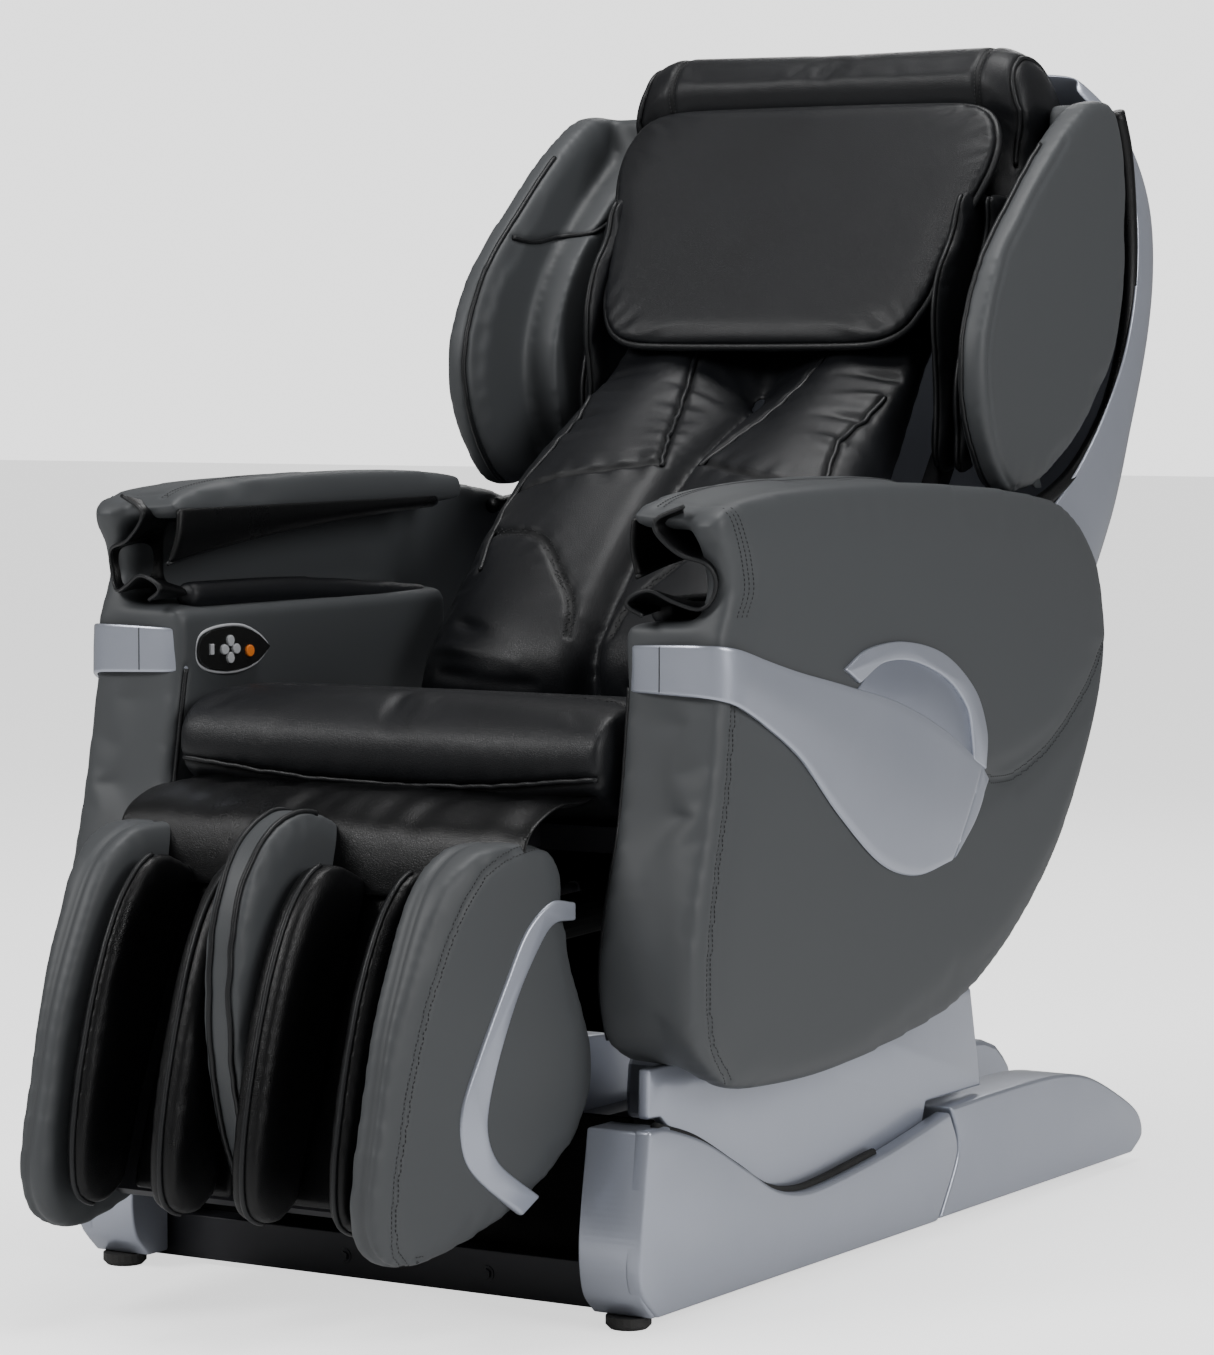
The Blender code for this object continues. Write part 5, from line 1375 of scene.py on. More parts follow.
@dataclass
class Backrest:
    """The back: lobed cushion, head pillow, top pad, wings, airbag leaves and silver shell."""

    half: float = 0.203
    gap_half: float = 0.013
    gap_depth: float = 0.028
    forward: Point = (0.0, -0.8090, 0.5877)
    padding: Padding = Padding(voxel=0.006, pressure=4.0, cap=0.012, looseness=0.03)

    cushion = (
        (-0.020, 0.540, CORNER), (-0.026, 0.578), (0.004, 0.632), (0.094, 0.725), (0.174, 0.790),
        (0.268, 0.848), (0.348, 0.898), (0.400, 0.950), (0.430, 0.998), (0.452, 1.038, CORNER),
        (0.484, 1.022, CORNER), (0.330, 0.812), (0.152, 0.568, CORNER), (0.110, 0.542, CORNER),
    )
    wing_front = (
        (0.500, 1.194), (0.422, 1.150), (0.344, 1.086), (0.275, 1.020), (0.238, 0.954), (0.228, 0.900),
        (0.241, 0.843), (0.274, 0.792), (0.312, 0.768),
    )
    wing_rear = (
        (0.390, 0.780), (0.490, 0.834), (0.558, 0.902), (0.591, 0.980), (0.599, 1.060), (0.590, 1.140),
        (0.560, 1.193),
    )
    wing_inner: float = 0.3010
    wing_outer: float = 0.3345
    root_inner: float = 0.2620
    root_step: float = 0.110
    top = (
        (0.468, 1.060, CORNER), (0.490, 1.120), (0.504, 1.166), (0.503, 1.192), (0.497, 1.214),
        (0.501, 1.243), (0.528, 1.262), (0.565, 1.257), (0.590, 1.229), (0.587, 1.160), (0.539, 1.092),
        (0.505, 1.053, CORNER),
    )
    leaf_fronts = (
        ((0.416, 1.096), (0.385, 1.050), (0.353, 1.006), (0.341, 0.954), (0.350, 0.879), (0.355, 0.792)),
        (
            (0.443, 1.094), (0.435, 1.059), (0.412, 1.009), (0.379, 0.944), (0.362, 0.883), (0.365, 0.835),
            (0.372, 0.788),
        ),
    )
    leaf_back = ((0.420, 0.806), (0.466, 0.905), (0.506, 0.985), (0.500, 1.080))
    border = (
        (0.580, 1.185), (0.600, 1.145), (0.612, 1.085), (0.617, 1.010), (0.603, 0.930), (0.555, 0.851),
        (0.474, 0.789), (0.380, 0.754), (0.313, 0.746),
    )
    pillow_foot: Point = (0.0, 0.330, 0.940)
    pillow_head: Point = (0.0, 0.474, 1.184)
    pillow_wall: float = 0.028
    top_corner: float = 0.060
    shell_rows = (
        (0.250, 0.560, 0.420, 0.470, 1.000), (0.300, 0.655, 0.530, 0.560, 1.000),
        (0.360, 0.725, 0.600, 0.640, 1.000), (0.460, 0.790, 0.645, 0.730, 1.000),
        (0.530, 0.850, 0.672, 0.830, 1.000), (0.585, 0.920, 0.700, 0.930, 1.000),
        (0.613, 1.000, 0.710, 1.010, 1.000), (0.619, 1.075, 0.702, 1.085, 0.990),
        (0.611, 1.135, 0.680, 1.150, 0.950), (0.607, 1.180, 0.652, 1.200, 0.880),
        (0.606, 1.213, 0.627, 1.236, 0.780),
    )

    lobe_seams = (
        (
            ((0.188, 0.30, 0.872), (0.176, 0.219, 0.823), (0.192, 0.145, 0.769), (0.190, 0.093, 0.727),
             (0.176, 0.05, 0.69)),
            SeamKind.PIPED, 0.004, 0.010, 0.0015,
        ),
        (
            ((0.190, 0.093, 0.727), (0.110, 0.080, 0.716), (0.062, 0.045, 0.680), (0.036, 0.018, 0.655),
             (0.026, -0.010, 0.628)),
            SeamKind.DOUBLE, 0.0045, 0.010, 0.0015,
        ),
        (
            ((0.192, 0.145, 0.769), (0.100, 0.165, 0.780), (0.030, 0.184, 0.800)),
            SeamKind.PLAIN, 0.0045, 0.009, 0.0022,
        ),
        (
            ((0.092, 0.410, 0.960), (0.078, 0.345, 0.905), (0.062, 0.290, 0.866), (0.040, 0.225, 0.822),
             (0.024, 0.184, 0.798)),
            SeamKind.PIPED, 0.005, 0.010, 0.0022,
        ),
    )
    fold_lines = (
        (0.195, 0.332, 0.893, 0.110, 0.322, 0.890), (0.198, 0.300, 0.872, 0.105, 0.282, 0.862),
        (0.196, 0.262, 0.852, 0.120, 0.252, 0.846), (0.186, 0.215, 0.820, 0.118, 0.222, 0.826),
        (0.150, 0.170, 0.788, 0.085, 0.205, 0.812), (0.120, 0.150, 0.770, 0.060, 0.190, 0.800),
        (0.190, 0.004, 0.640, 0.090, -0.014, 0.612), (0.195, -0.012, 0.610, 0.070, -0.022, 0.592),
        (0.185, -0.022, 0.580, 0.050, -0.026, 0.570),
    )
    ridge: float = 0.0052
    valley: float = 0.0060
    fold_half: float = 0.0078
    leaf_spans = ((0.2145, 0.2265), (0.2320, 0.2440))
    top_half: float = 0.258
    top_seam = ((0.492, 1.150), (0.488, 1.205), (0.500, 1.248), (0.545, 1.262), (0.592, 1.235))
    top_rim = ((0.488, 1.130), (0.478, 1.200), (0.492, 1.245), (0.540, 1.262), (0.590, 1.230), (0.592, 1.160))
    cap_seam = ((0.322, 1.050), (0.345, 1.046), (0.382, 1.048), (0.440, 1.062), (0.500, 1.092))

    def shape_lobes(self, piece: bpy.types.Object) -> None:
        """Presses the gap between the two lobes into the cushion, and rounds each lobe."""
        places, facing = points_of(piece), normals_of(piece)
        forward = np.array(self.forward)
        facing_front = np.clip(facing @ forward * 1.6, 0, 1)
        x = places[:, 0]
        gap = self.gap_depth * np.exp(-((x / self.gap_half) ** 2))
        crown = 0.007 * np.cos(np.clip((np.abs(x) - 0.105) / 0.10, -1, 1) * np.pi)
        height = np.clip((places[:, 2] - 0.80) / 0.06, 0, 1)
        hollow = 0.011 * height * np.exp(-((x / 0.085) ** 4))
        set_points(piece, places + forward * ((crown - gap - hollow) * facing_front)[:, None])

    def cushion_seams(self) -> list[Seam]:
        """The seams of both lobes."""
        sight = tuple(-c for c in self.forward)
        found = []
        for side in Side:
            for path, kind, depth, width, pucker in self.lobe_seams:
                points = tuple((side.value * x, y, z) for x, y, z in path)
                found.append(Seam(points, sight, kind, depth, width, pucker))
        return found

    def folds(self) -> list[tuple[Point, Point, float, float]]:
        """The creases that run across the lobes, under the pillow and at the hips."""
        found = []
        for side in Side:
            s = side.value
            for k, (x0, y0, z0, x1, y1, z1) in enumerate(self.fold_lines):
                height = self.ridge if k % 2 else -self.valley
                found.append(((s * x0, y0, z0), (s * x1, y1, z1), height, self.fold_half))
        return found

    def build(self, room: SewingRoom) -> Callable[[], None]:
        """Prepares the whole back."""
        parts = (self.build_cushion, self.build_pillow, self.build_top, self.build_wings, self.build_leaves)
        after = [part(room) for part in parts]

        def finish() -> None:
            for step in after:
                step()
            self.build_shell()

        return finish

    def build_cushion(self, room: SewingRoom) -> Callable[[], None]:
        """Prepares the lobed cushion."""
        piece = slab(
            "back_upholstery", self.cushion, -self.half, self.half, step=0.012, top_bevel=0.022,
            bottom_bevel=0.022,
        )
        apply_modifier(piece, "REMESH", mode="VOXEL", voxel_size=self.padding.voxel)
        self.shape_lobes(piece)
        room.stretch_skin(piece, self.padding, rounding=3)

        def after() -> None:
            crumple(piece, self.folds())
            extras = sew(piece, self.cushion_seams())
            settle(piece, "backrest", BODY_LEATHER, "back_cushion")
            settle_trimmings("back", "backrest", extras)

        return after

    def pillow_view(self) -> Matrix:
        """Local X across, Y from the pillow's foot to its head, Z out of its front."""
        foot = Vector(self.pillow_foot)
        along = (Vector(self.pillow_head) - foot).normalized()
        turn = Matrix(((1, 0, 0), (0, along.y, -along.z), (0, along.z, along.y)))
        return Matrix.Translation(foot) @ turn.to_4x4()

    def build_pillow(self, room: SewingRoom) -> Callable[[], None]:
        """Prepares the head pillow."""
        length = (Vector(self.pillow_head) - Vector(self.pillow_foot)).length
        outline = [
            (-0.140, -0.008), (0.140, -0.008), (0.182, 0.006), (0.204, 0.046), (0.213, 0.100),
            (0.222, 0.155),
            (0.236, length - 0.075), (0.236, length - 0.030), (0.214, length + 0.006), (0.165, length + 0.016),
        ]
        outline += [(-x, y) for x, y in reversed(outline[2:])]
        view = self.pillow_view()
        piece = slab(
            "pillow_upholstery", outline, -self.pillow_wall, 0.002, view, 0.010, self.pillow_wall * 0.45,
            self.pillow_wall * 0.45,
        )
        middle = length / 2
        shrunk = [
            view @ Vector((p.x * 0.993, middle + (p.y - middle) * 0.990, -0.012))
            for p in outline_loop(outline, SEAM_STEP)
        ]
        room.stretch_skin(piece, Padding(voxel=0.005, pressure=1.2, cap=0.003), [shrunk], rounding=5)

        def after() -> None:
            path = tuple(tuple(p) for p in shrunk[::6])
            edge = Seam(path, None, SeamKind.PIPED, 0.003, 0.008, closed=True, cord=0.0050)
            extras = sew(piece, [edge])
            settle(piece, "pillow", BODY_LEATHER, "headrest_pillow")
            settle_trimmings("pillow", "pillow", extras)

        return after

    def build_top(self, room: SewingRoom) -> Callable[[], None]:
        """Prepares the pad over the top of the back."""
        half = self.top_half
        piece = slab("top_upholstery", self.top, -half, half, step=0.010, top_bevel=0.030, bottom_bevel=0.030)
        apply_modifier(piece, "REMESH", mode="VOXEL", voxel_size=0.006)
        places = points_of(piece)
        past = np.clip(np.abs(places[:, 0]) - (half - self.top_corner), 0, self.top_corner * 0.98)
        drop = self.top_corner - np.sqrt(self.top_corner**2 - past**2)
        places[:, 2] -= drop * np.clip((places[:, 2] - 1.08) / 0.16, 0, 1)
        set_points(piece, places)
        room.stretch_skin(piece, Padding(voxel=0.006, pressure=4.0, cap=0.006), rounding=4)

        def after() -> None:
            seams = []
            for side in Side:
                run = tuple((side.value * 0.196, y, z) for y, z in self.top_seam)
                seams.append(Seam(run, None, SeamKind.DOUBLE, 0.003, 0.008, 0.0008))
                rim = tuple((side.value * 0.247, y, z) for y, z in self.top_rim)
                seams.append(Seam(rim, None, SeamKind.PIPED, 0.002, 0.007))
            extras = sew(piece, seams)
            settle(piece, "backrest", BODY_LEATHER, "top_pad")
            settle_trimmings("top", "backrest", extras)

        return after

    def build_wings(self, room: SewingRoom) -> Callable[[], None]:
        """Prepares both shoulder wings."""
        outline = [*self.wing_front, *self.wing_rear]
        blade = slab(
            "blade", outline, self.wing_inner, self.wing_outer, step=0.010, top_bevel=0.014, bottom_bevel=0.011,
            segments=5,
        )
        set_back = [(min(y + self.root_step, 0.54), z) for y, z in self.wing_front]
        root = slab("root", [*set_back, *self.wing_rear], self.root_inner, 0.312, step=0.010, bottom_bevel=0.016)
        piece = join_pieces("left_wing_upholstery", [blade, root])
        room.stretch_skin(piece, Padding(voxel=0.006, pressure=4.0, cap=0.004), rounding=3)

        def after() -> None:
            front = self.wing_front[1:]
            outside = tuple((self.wing_outer + 0.01, y + 0.018, z) for y, z in front)
            corner = tuple((self.wing_inner + 0.007, y - 0.005, z) for y, z in front)
            across = tuple((self.wing_inner - 0.06, y, z) for y, z in self.cap_seam)
            seams = [
                Seam(outside, (-1.0, 0.0, 0.0), SeamKind.PLAIN, 0.002, 0.006),
                Seam(corner, None, SeamKind.PIPED, 0.002, 0.007),
                Seam(across, (1.0, 0.0, 0.0), SeamKind.PIPED, 0.003, 0.008),
            ]
            extras = sew(piece, seams)
            self.paint_wing_shade(piece)
            border = even_path([(0.3265, y, z) for y, z in self.border], 70)
            trim = tube("left_back_border", border, 0.0088, sides=6)
            twins = [copy_to_other_side(p, p.name.replace("left", "right")) for p in (piece, trim)]
            twin_extras = [copy_to_other_side(e, e.name.split(".")[0]) for e in extras]
            for word, wing, edge in (("left", piece, trim), ("right", *twins)):
                settle(wing, "backrest", PANEL_LEATHER, f"{word}_shoulder_wing")
                edge.data.shade_smooth()
                settle(edge, "backrest", LINING_LEATHER)
            settle_trimmings("left_wing", "backrest", extras)
            settle_trimmings("right_wing", "backrest", twin_extras)

        return after

    def paint_wing_shade(self, piece: bpy.types.Object) -> None:
        """Paints shade on the inward-facing skin of a wing and on its set-back root."""
        places, facing = points_of(piece), normals_of(piece)
        # Painted shade: inward-facing skin is half shaded and the root behind the blade nearly black.
        inward = np.clip(-facing[:, 0] * 1.5, 0, 1) * 0.5
        behind = (places[:, 0] < self.wing_inner - 0.004) * 0.9
        paint_shade_on_skin(piece, np.maximum(inward, behind))

    def build_leaves(self, room: SewingRoom) -> Callable[[], None]:
        """Prepares the two airbag leaves beside the cushion, on each side."""
        leaves = []
        for number, (low, high) in enumerate(self.leaf_spans):
            outline = [*self.leaf_fronts[number], *self.leaf_back]
            leaf = slab(
                f"left_leaf_{number}", outline, low, high, step=0.008, top_bevel=0.004, bottom_bevel=0.004,
                segments=3,
            )
            room.stretch_skin(leaf, Padding(voxel=0.004, pressure=4.0, cap=0.004), rounding=3)
            leaves.append((leaf, (low + high) / 2))

        def after() -> None:
            for number, (leaf, x) in enumerate(leaves):
                front = tuple((x, y - 0.01, z) for y, z in self.leaf_fronts[number])
                edge = Seam(front, None, SeamKind.PIPED, 0.001, 0.005)
                extras = sew(leaf, [edge])
                twin = copy_to_other_side(leaf, leaf.name.replace("left", "right"))
                twin_extras = [copy_to_other_side(e, e.name.split(".")[0]) for e in extras]
                for word, piece, trimmings in (("left", leaf, extras), ("right", twin, twin_extras)):
                    nodes = (f"{word}_shoulder_flap",) if number == 0 else ()
                    settle(piece, "backrest", BODY_LEATHER, *nodes)
                    settle_trimmings(f"{word}_leaf_{number}", "backrest", trimmings)

        return after

    def build_shell(self) -> None:
        """Builds the silver rear shell from U-shaped sections."""
        columns, squareness = 28, 0.42
        half = self.wing_outer
        rails = []
        for front_y, front_z, rear_y, rear_z, width in self.shell_rows:
            rail = []
            for column in range(columns + 1):
                turn = math.pi * (column / columns - 0.5)
                sweep = math.copysign(abs(math.sin(turn)) ** squareness, math.sin(turn))
                depth = max(0.0, math.cos(turn)) ** squareness
                y, z = front_y + (rear_y - front_y) * depth, front_z + (rear_z - front_z) * depth
                rail.append(Vector((half * width * sweep, y, z)))
            rails.append(rail)
        shell = lofted_sheet("silver_back", rails, 40, 0.0042)
        settle(shell, "backrest", SILVER_PAINT, "back_shell")


# ---------------------------------------------------------------- calf rest


@dataclass
class CalfRest:
    """The calf rest: two outer pods, airbag leaves along their channels, and the divider."""

    outer: float = 0.2515
    shell_inner: float = 0.196
    stitched_x: float = 0.2325
    seam_x: float = 0.192
    toe_in: float = 0.180
    toe_start: float = -0.420
    leaf_spans = ((0.140, 0.160), (0.032, 0.062))
    strip_height: float = 0.0066
    divider_half: float = 0.021
    divider_piping: float = 0.014
    padding: Padding = Padding(voxel=0.0065, pressure=3.5, cap=0.004)

    outline = (
        (-0.470, 0.460), (-0.510, 0.466), (-0.555, 0.463), (-0.600, 0.440), (-0.630, 0.400),
        (-0.673, 0.310), (-0.696, 0.225), (-0.709, 0.160), (-0.703, 0.113), (-0.668, 0.085),
        (-0.605, 0.087), (-0.507, 0.118), (-0.440, 0.161), (-0.403, 0.210), (-0.397, 0.250),
        (-0.410, 0.292), (-0.433, 0.348), (-0.442, 0.400), (-0.449, 0.440),
    )
    strip = (
        (-0.441, 0.403, CORNER), (-0.473, 0.406), (-0.507, 0.382), (-0.536, 0.335), (-0.572, 0.270),
        (-0.594, 0.222), (-0.590, 0.180), (-0.566, 0.152), (-0.514, 0.116, CORNER),
        (-0.490, 0.131, CORNER), (-0.545, 0.170), (-0.560, 0.205), (-0.549, 0.254), (-0.520, 0.320),
        (-0.490, 0.366), (-0.470, 0.385), (-0.441, 0.386, CORNER),
    )
    wall = (
        (-0.464, 0.450, CORNER), (-0.505, 0.478), (-0.560, 0.486), (-0.618, 0.456), (-0.654, 0.390),
        (-0.662, 0.290), (-0.645, 0.200), (-0.617, 0.135, CORNER), (-0.600, 0.132, CORNER),
    )
    leaf = (
        (-0.500, 0.420, CORNER), (-0.560, 0.440), (-0.606, 0.412), (-0.644, 0.352), (-0.675, 0.265),
        (-0.692, 0.180), (-0.688, 0.128), (-0.655, 0.112), (-0.622, 0.125, CORNER),
    )
    rim = (
        (-0.480, 0.464), (-0.530, 0.466), (-0.580, 0.452), (-0.615, 0.422), (-0.648, 0.368),
        (-0.676, 0.300), (-0.696, 0.225), (-0.709, 0.160), (-0.703, 0.113), (-0.668, 0.086),
    )

    channel_rows = (
        (-0.474, 0.452), (-0.503, 0.385), (-0.533, 0.312), (-0.563, 0.240), (-0.590, 0.168),
        (-0.604, 0.122),
    )
    channel_columns = (0.024, 0.06, 0.10, 0.138)

    def draw_in(self, piece: bpy.types.Object) -> None:
        """Draws the outer face in towards its front edge."""
        places = points_of(piece)
        reach = np.clip(self.toe_start - places[:, 1], 0, None)
        outside = places[:, 0] > self.outer - 0.035
        places[:, 0] -= np.where(outside, reach * self.toe_in, 0)
        set_points(piece, places)

    def build(self, room: SewingRoom) -> Callable[[], None]:
        """Prepares the calf rest."""
        shell = slab(
            "shell", self.outline, self.shell_inner, self.outer, step=0.010, top_bevel=0.013,
            bottom_bevel=0.009,
        )
        self.draw_in(shell)
        liner = slab("liner", self.outline, 0.174, 0.205, step=0.012, bottom_bevel=0.004)
        pod = join_pieces("left_calf_upholstery", [shell, liner])
        room.stretch_skin(pod, self.padding, rounding=4)
        half = self.divider_half
        wall = slab("divider_upholstery", self.wall, -half, half, step=0.010, top_bevel=0.009, bottom_bevel=0.009)
        room.stretch_skin(wall, Padding(voxel=0.005, pressure=3.5, cap=0.003), rounding=3)
        leaves = []
        for number, (low, high) in enumerate(self.leaf_spans):
            edge = (high - low) * 0.42
            leaf = slab(f"left_calf_leaf_{number}", self.leaf, low, high, step=0.010, top_bevel=edge, bottom_bevel=edge)
            room.stretch_skin(leaf, Padding(voxel=0.005, pressure=3.5, cap=0.0035), rounding=3)
            leaves.append(leaf)

        def after() -> None:
            self.finish_pod(pod)
            self.finish_divider(wall)
            for leaf in leaves:
                self.finish_leaf(leaf)
            self.strips()
            self.channel_backs()

        return after

    def finish_pod(self, pod: bpy.types.Object) -> None:
        """Sews the pod and dresses it on both sides."""
        stitched = tuple((self.stitched_x, y + 0.030, z - 0.008) for y, z in self.rim)
        seams = [
            Seam(stitched, (-1.0, 0.0, 0.0), SeamKind.DOUBLE, 0.0018, 0.006),
            Seam(tuple((self.seam_x, y, z) for y, z in self.rim), None, SeamKind.PLAIN, 0.003, 0.008),
        ]
        extras = sew(pod, seams)
        twin = copy_to_other_side(pod, "right_calf_upholstery")
        twin_extras = [copy_to_other_side(e, e.name.split(".")[0]) for e in extras]
        for word, piece, trimmings in (("left", pod, extras), ("right", twin, twin_extras)):
            settle(piece, "legrest", PANEL_LEATHER, f"{word}_calf_pod")
            settle_trimmings(f"{word}_calf", "legrest", trimmings)

    def finish_divider(self, wall: bpy.types.Object) -> None:
        """Sews and dresses the divider between the channels."""
        seams = []
        for x in (-self.divider_piping, self.divider_piping):
            path = tuple((x, y - 0.02, z) for y, z, *_ in self.wall[1:8])
            seams.append(Seam(path, None, SeamKind.PIPED, 0.001, 0.005))
        extras = sew(wall, seams)
        settle(wall, "legrest", PANEL_LEATHER, "calf_divider")
        settle_trimmings("divider", "legrest", extras)

    def finish_leaf(self, leaf: bpy.types.Object) -> None:
        """Dresses one of the airbag leaves and its mirror image."""
        low, high = points_of(leaf)[:, 0].min(), points_of(leaf)[:, 0].max()
        path = tuple(((low + high) / 2, y - 0.004, z) for y, z, *_ in self.leaf[1:8])
        edge = Seam(path, None, SeamKind.PIPED, 0.001, 0.005)
        extras = sew(leaf, [edge])
        twin = copy_to_other_side(leaf, leaf.name.replace("left", "right"))
        twin_extras = [copy_to_other_side(e, e.name.split(".")[0]) for e in extras]
        for piece, trimmings in ((leaf, extras), (twin, twin_extras)):
            settle(piece, "legrest", LINING_LEATHER)
            settle_trimmings(piece.name, "legrest", trimmings)

    def strips(self) -> None:
        """The silver strips let into the outer faces."""
        low, high = self.outer - 0.0005, self.outer + self.strip_height
        strip = slab("left_calf_strip", self.strip, low, high, step=0.005, top_bevel=0.0024, segments=3)
        self.draw_in(strip)
        smooth_shading(strip)
        twin = copy_to_other_side(strip, "right_calf_strip")
        for word, piece in (("left", strip), ("right", twin)):
            settle(piece, "legrest", SILVER_PAINT, f"{word}_calf_trim")

    def channel_backs(self) -> None:
        """The padded backs of the two calf channels."""
        for side in Side:
            rails = []
            for y, z in self.channel_rows:
                rail = [Vector((side.value * x, y - 0.006, z)) for x in self.channel_columns]
                rails.append(even_points(rail, 16))
            sheet = lofted_sheet(f"{side.word}_channel_back", rails, 24, 0.008, bulge=0.0)
            settle(sheet, "legrest", LINING_LEATHER)


# ---------------------------------------------------------------- base and mechanism


@dataclass
class BaseUnit:
    """The silver mouldings of the base and the covers that lift out of them."""

    inner: float = 0.3135
    outer: float = 0.332
    block_inner: float = 0.262
    block_setback: float = 0.0035

    skirt = (
        (-0.436, 0.192, CORNER), (-0.405, 0.190), (-0.333, 0.168), (-0.250, 0.128), (-0.187, 0.098),
        (-0.117, 0.088), (0.031, 0.101), (0.178, 0.124, CORNER), (0.196, 0.080), (0.152, 0.0125, CORNER),
        (-0.420, 0.0125, CORNER), (-0.448, 0.040), (-0.452, 0.083),
    )
    corner_block = (
        (-0.436, 0.190, CORNER), (-0.452, 0.083), (-0.446, 0.036), (-0.425, 0.0125, CORNER),
        (-0.392, 0.0125, CORNER), (-0.392, 0.190, CORNER),
    )
    tilt_cover = (
        (-0.406, 0.2445, CORNER), (-0.407, 0.197, CORNER), (-0.384, 0.196, CORNER), (-0.320, 0.145),
        (-0.190, 0.082), (-0.117, 0.076), (0.031, 0.090), (0.150, 0.110, CORNER), (0.160, 0.136, CORNER),
        (0.287, 0.136, CORNER), (0.262, 0.2445, CORNER),
    )
    housing = (
        (0.188, 0.127, CORNER), (0.300, 0.129), (0.435, 0.128), (0.520, 0.116), (0.600, 0.086),
        (0.655, 0.057), (0.667, 0.030), (0.640, 0.0125, CORNER), (0.165, 0.0125, CORNER), (0.207, 0.080),
    )
    bolt_places = (-0.051, 0.117)
    bolt_height: float = 0.027
    turned = ((-0.3862, 6, 0.0052, 0.0036), (-0.3848, 24, 0.0078, 0.0012))
    seal_x: float = 0.3178

    def build(self) -> None:
        """Builds the mouldings on both sides."""
        lower = self.lower_cover()
        tilt = slab("tilt_moulding", self.tilt_cover, 0.3002, 0.3124, step=0.008, top_bevel=0.003)
        rear = slab("rear_moulding", self.housing, 0.2622, 0.3278, step=0.008, top_bevel=0.024, segments=6)
        pieces = (("base_cover", "base", lower), ("tilt_cover", "seat", tilt), ("rear_housing", "base", rear))
        for node, body, piece in pieces:
            smooth_shading(piece)
            piece.name = f"left_{node}_moulding"
            twin = copy_to_other_side(piece, f"right_{node}_moulding")
            for word, made in (("left", piece), ("right", twin)):
                settle(made, body, SILVER_PAINT, f"{word}_{node}")
        self.fasteners()

    def lower_cover(self) -> bpy.types.Object:
        """The skirt with the V in its top and the block at its front corner."""
        skirt = slab("skirt", self.skirt, self.inner, self.outer, step=0.008, top_bevel=0.0055)
        face = self.outer - self.block_setback
        front = slab("front_block", self.corner_block, self.block_inner, face, step=0.006, top_bevel=0.004)
        return join_pieces("left_base_moulding", [skirt, front])

    def fasteners(self) -> None:
        """The bolts of the front crossbar, the dark screens and the covers' rubber seals."""
        heads = []
        lying = Matrix.Rotation(math.pi / 2, 4, "X")
        for x in self.bolt_places:
            for y, sides, radius, depth in self.turned:
                plain_state()
                bpy.ops.mesh.primitive_cylinder_add(vertices=sides, radius=radius, depth=depth)
                piece = bpy.context.object
                piece.data.transform(Matrix.Translation((x, y, self.bolt_height)) @ lying)
                heads.append(piece)
        bolts = join_pieces("crossbar_bolts", heads)
        settle(bolts, "base", FRAME_STEEL)
        front = block("front_screen", (-0.258, -0.349, 0.0465), (0.258, -0.343, 0.186), 0.001)
        settle(front, "base", SCREEN_CLOTH)
        rear = block("rear_screen", (-0.222, 0.1505, 0.180), (0.222, 0.1560, 0.4395), 0.001)
        settle(rear, "seat", SCREEN_CLOTH)
        for side in Side:
            path = even_path([(side.value * self.seal_x, y, z + 0.001) for y, z, *_ in self.skirt[1:7]], 60)
            settle(tube(f"{side.word}_cover_seal", path, 0.0045, sides=5), "base", BLACK_RUBBER)


@dataclass
class PanelHolder:
    """The grey rim that holds the glossy control panel to the arm's inner face."""

    center: Point = (-0.25095, -0.290, 0.617)
    along: Point = (0.10398, 0.99458, 0.0)
    out: Point = (0.99458, -0.10398, 0.0)
    sunk: float = 0.0042

    oval = (
        (-0.052, 0.000), (-0.046, 0.014), (-0.020, 0.021), (0.015, 0.021), (0.040, 0.012),
        (0.056, 0.000, CORNER), (0.038, -0.014), (0.010, -0.021), (-0.025, -0.020), (-0.048, -0.012),
    )

    def build(self) -> None:
        """Builds the rim round the panel's edge."""
        along, out = Vector(self.along), Vector(self.out)
        up = Vector((0, 0, 1))
        turn = Matrix((along, up, out)).transposed().to_4x4()
        view = Matrix.Translation(Vector(self.center)) @ turn
        rim = [view @ Vector((p.x * 1.045, p.y * 1.11, -self.sunk)) for p in outline_loop(self.oval, 0.003)]
        settle(tube("panel_rim", smoothed(rim, True, 3), 0.0016, closed=True, sides=5), "seat", GREY_BUTTON)


# ---------------------------------------------------------------- studio


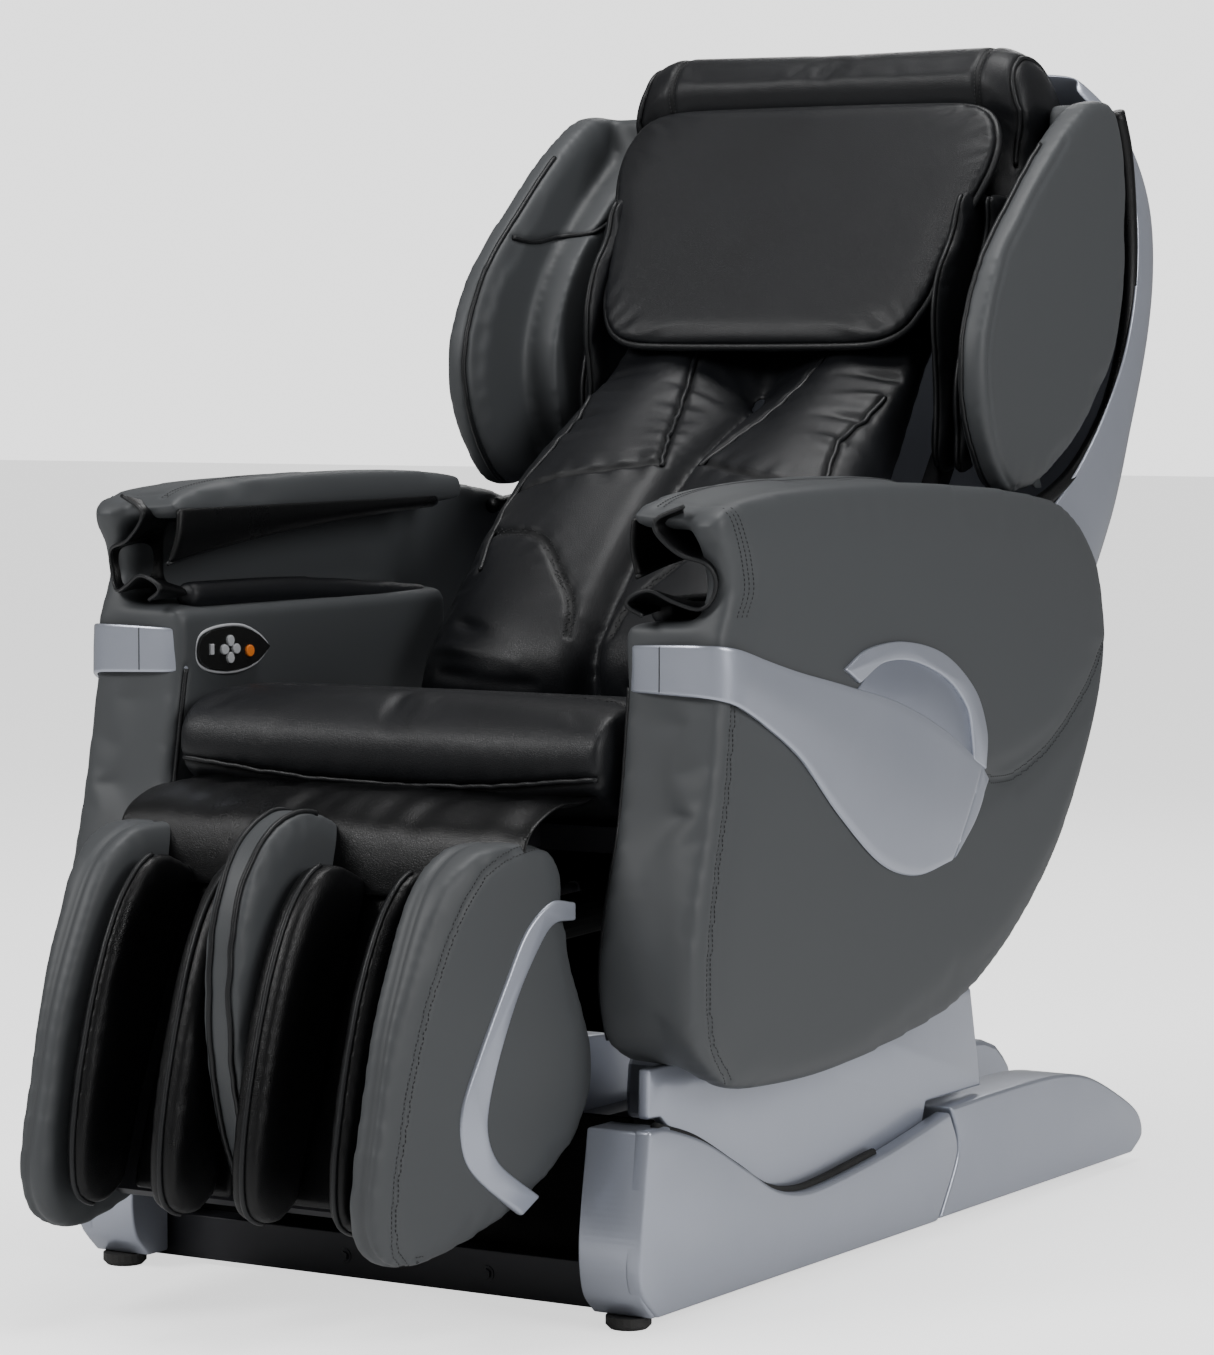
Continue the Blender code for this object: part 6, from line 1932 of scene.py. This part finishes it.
@dataclass
class Studio:
    """A pale floor, broad soft lights and the camera."""

    target: Point = (-0.0281, 0.0758, 0.5741)
    eye: Point = (2.4990, -4.0599, 0.9066)
    lens: float = 121.3
    sensor: float = 36.0
    backdrop: float = 0.93
    world: float = 0.22
    floor_lift: float = 1.3
    sky_lift: float = 1.9

    def light(self, name: str, place: Point, size: float, watts: float) -> None:
        """Adds one soft lamp that looks at the chair."""
        plain_state()
        bpy.ops.object.light_add(type="AREA", location=place)
        lamp = bpy.context.object
        lamp.name = name
        lamp.data.shape = "DISK"
        lamp.data.size = size
        lamp.data.energy = watts
        lamp.rotation_euler = (Vector(self.target) - Vector(place)).to_track_quat("-Z", "Y").to_euler()

    def floor(self) -> None:
        """Adds the floor, which fades into the backdrop."""
        plain_state()
        bpy.ops.mesh.primitive_plane_add(size=60, location=(0, 0, 0))
        ground = bpy.context.object
        ground.name = "floor"
        made = bpy.data.materials.new("pale_floor")
        made.use_nodes = True
        shader = made.node_tree.nodes["Principled BSDF"]
        shader.inputs["Base Color"].default_value = (self.backdrop, self.backdrop, self.backdrop, 1)
        shader.inputs["Roughness"].default_value = 0.7
        shader.inputs["Specular IOR Level"].default_value = 0.2
        sheet = Sheet(made.node_tree)
        seen = sheet.add("ShaderNodeLightPath").outputs["Is Camera Ray"]
        shader.inputs["Emission Color"].default_value = (1, 1, 1, 1)
        glow = sheet.math("MULTIPLY", seen, self.floor_lift)
        made.node_tree.links.new(glow, shader.inputs["Emission Strength"])
        ground.data.materials.append(made)

    def build(self) -> None:
        """Sets up the whole studio."""
        self.floor()
        self.light("key_light", (-1.8, -3.4, 3.4), 1.8, 120)
        self.light("fill_light", (3.9, -0.8, 2.2), 2.2, 90)
        self.light("top_light", (0.2, 0.3, 3.8), 1.8, 70)
        self.light("rim_light", (-1.2, 3.6, 2.6), 1.6, 26)
        world = bpy.data.worlds.new("studio")
        bpy.context.scene.world = world
        world.use_nodes = True
        world.node_tree.nodes["Background"].inputs["Color"].default_value = (1, 1, 1, 1)
        sheet = Sheet(world.node_tree)
        seen = sheet.add("ShaderNodeLightPath").outputs["Is Camera Ray"]
        strength = sheet.math("MULTIPLY_ADD", seen, self.sky_lift)
        strength.node.inputs[2].default_value = self.world
        world.node_tree.links.new(strength, world.node_tree.nodes["Background"].inputs["Strength"])
        plain_state()
        bpy.ops.object.camera_add(location=self.eye)
        camera = bpy.context.object
        camera.rotation_euler = (Vector(self.target) - Vector(self.eye)).to_track_quat("-Z", "Y").to_euler()
        camera.data.lens = self.lens
        camera.data.sensor_width = self.sensor
        camera.data.sensor_fit = "AUTO"
        camera.data.dof.use_dof = False
        bpy.context.scene.camera = camera


def main() -> None:
    """Builds the recliner piece by piece."""
    logging.basicConfig(level=logging.INFO, format="%(name)s: %(message)s")
    finish_frame_nodes()
    room = SewingRoom()
    units = (ArmPod(), SeatUnit(), Backrest(), CalfRest())
    finishing = [unit.build(room) for unit in units]
    room.fill_all()
    for step in finishing:
        step()
    BaseUnit().build()
    PanelHolder().build()
    Studio().build()


if __name__ == "__main__":
    main()
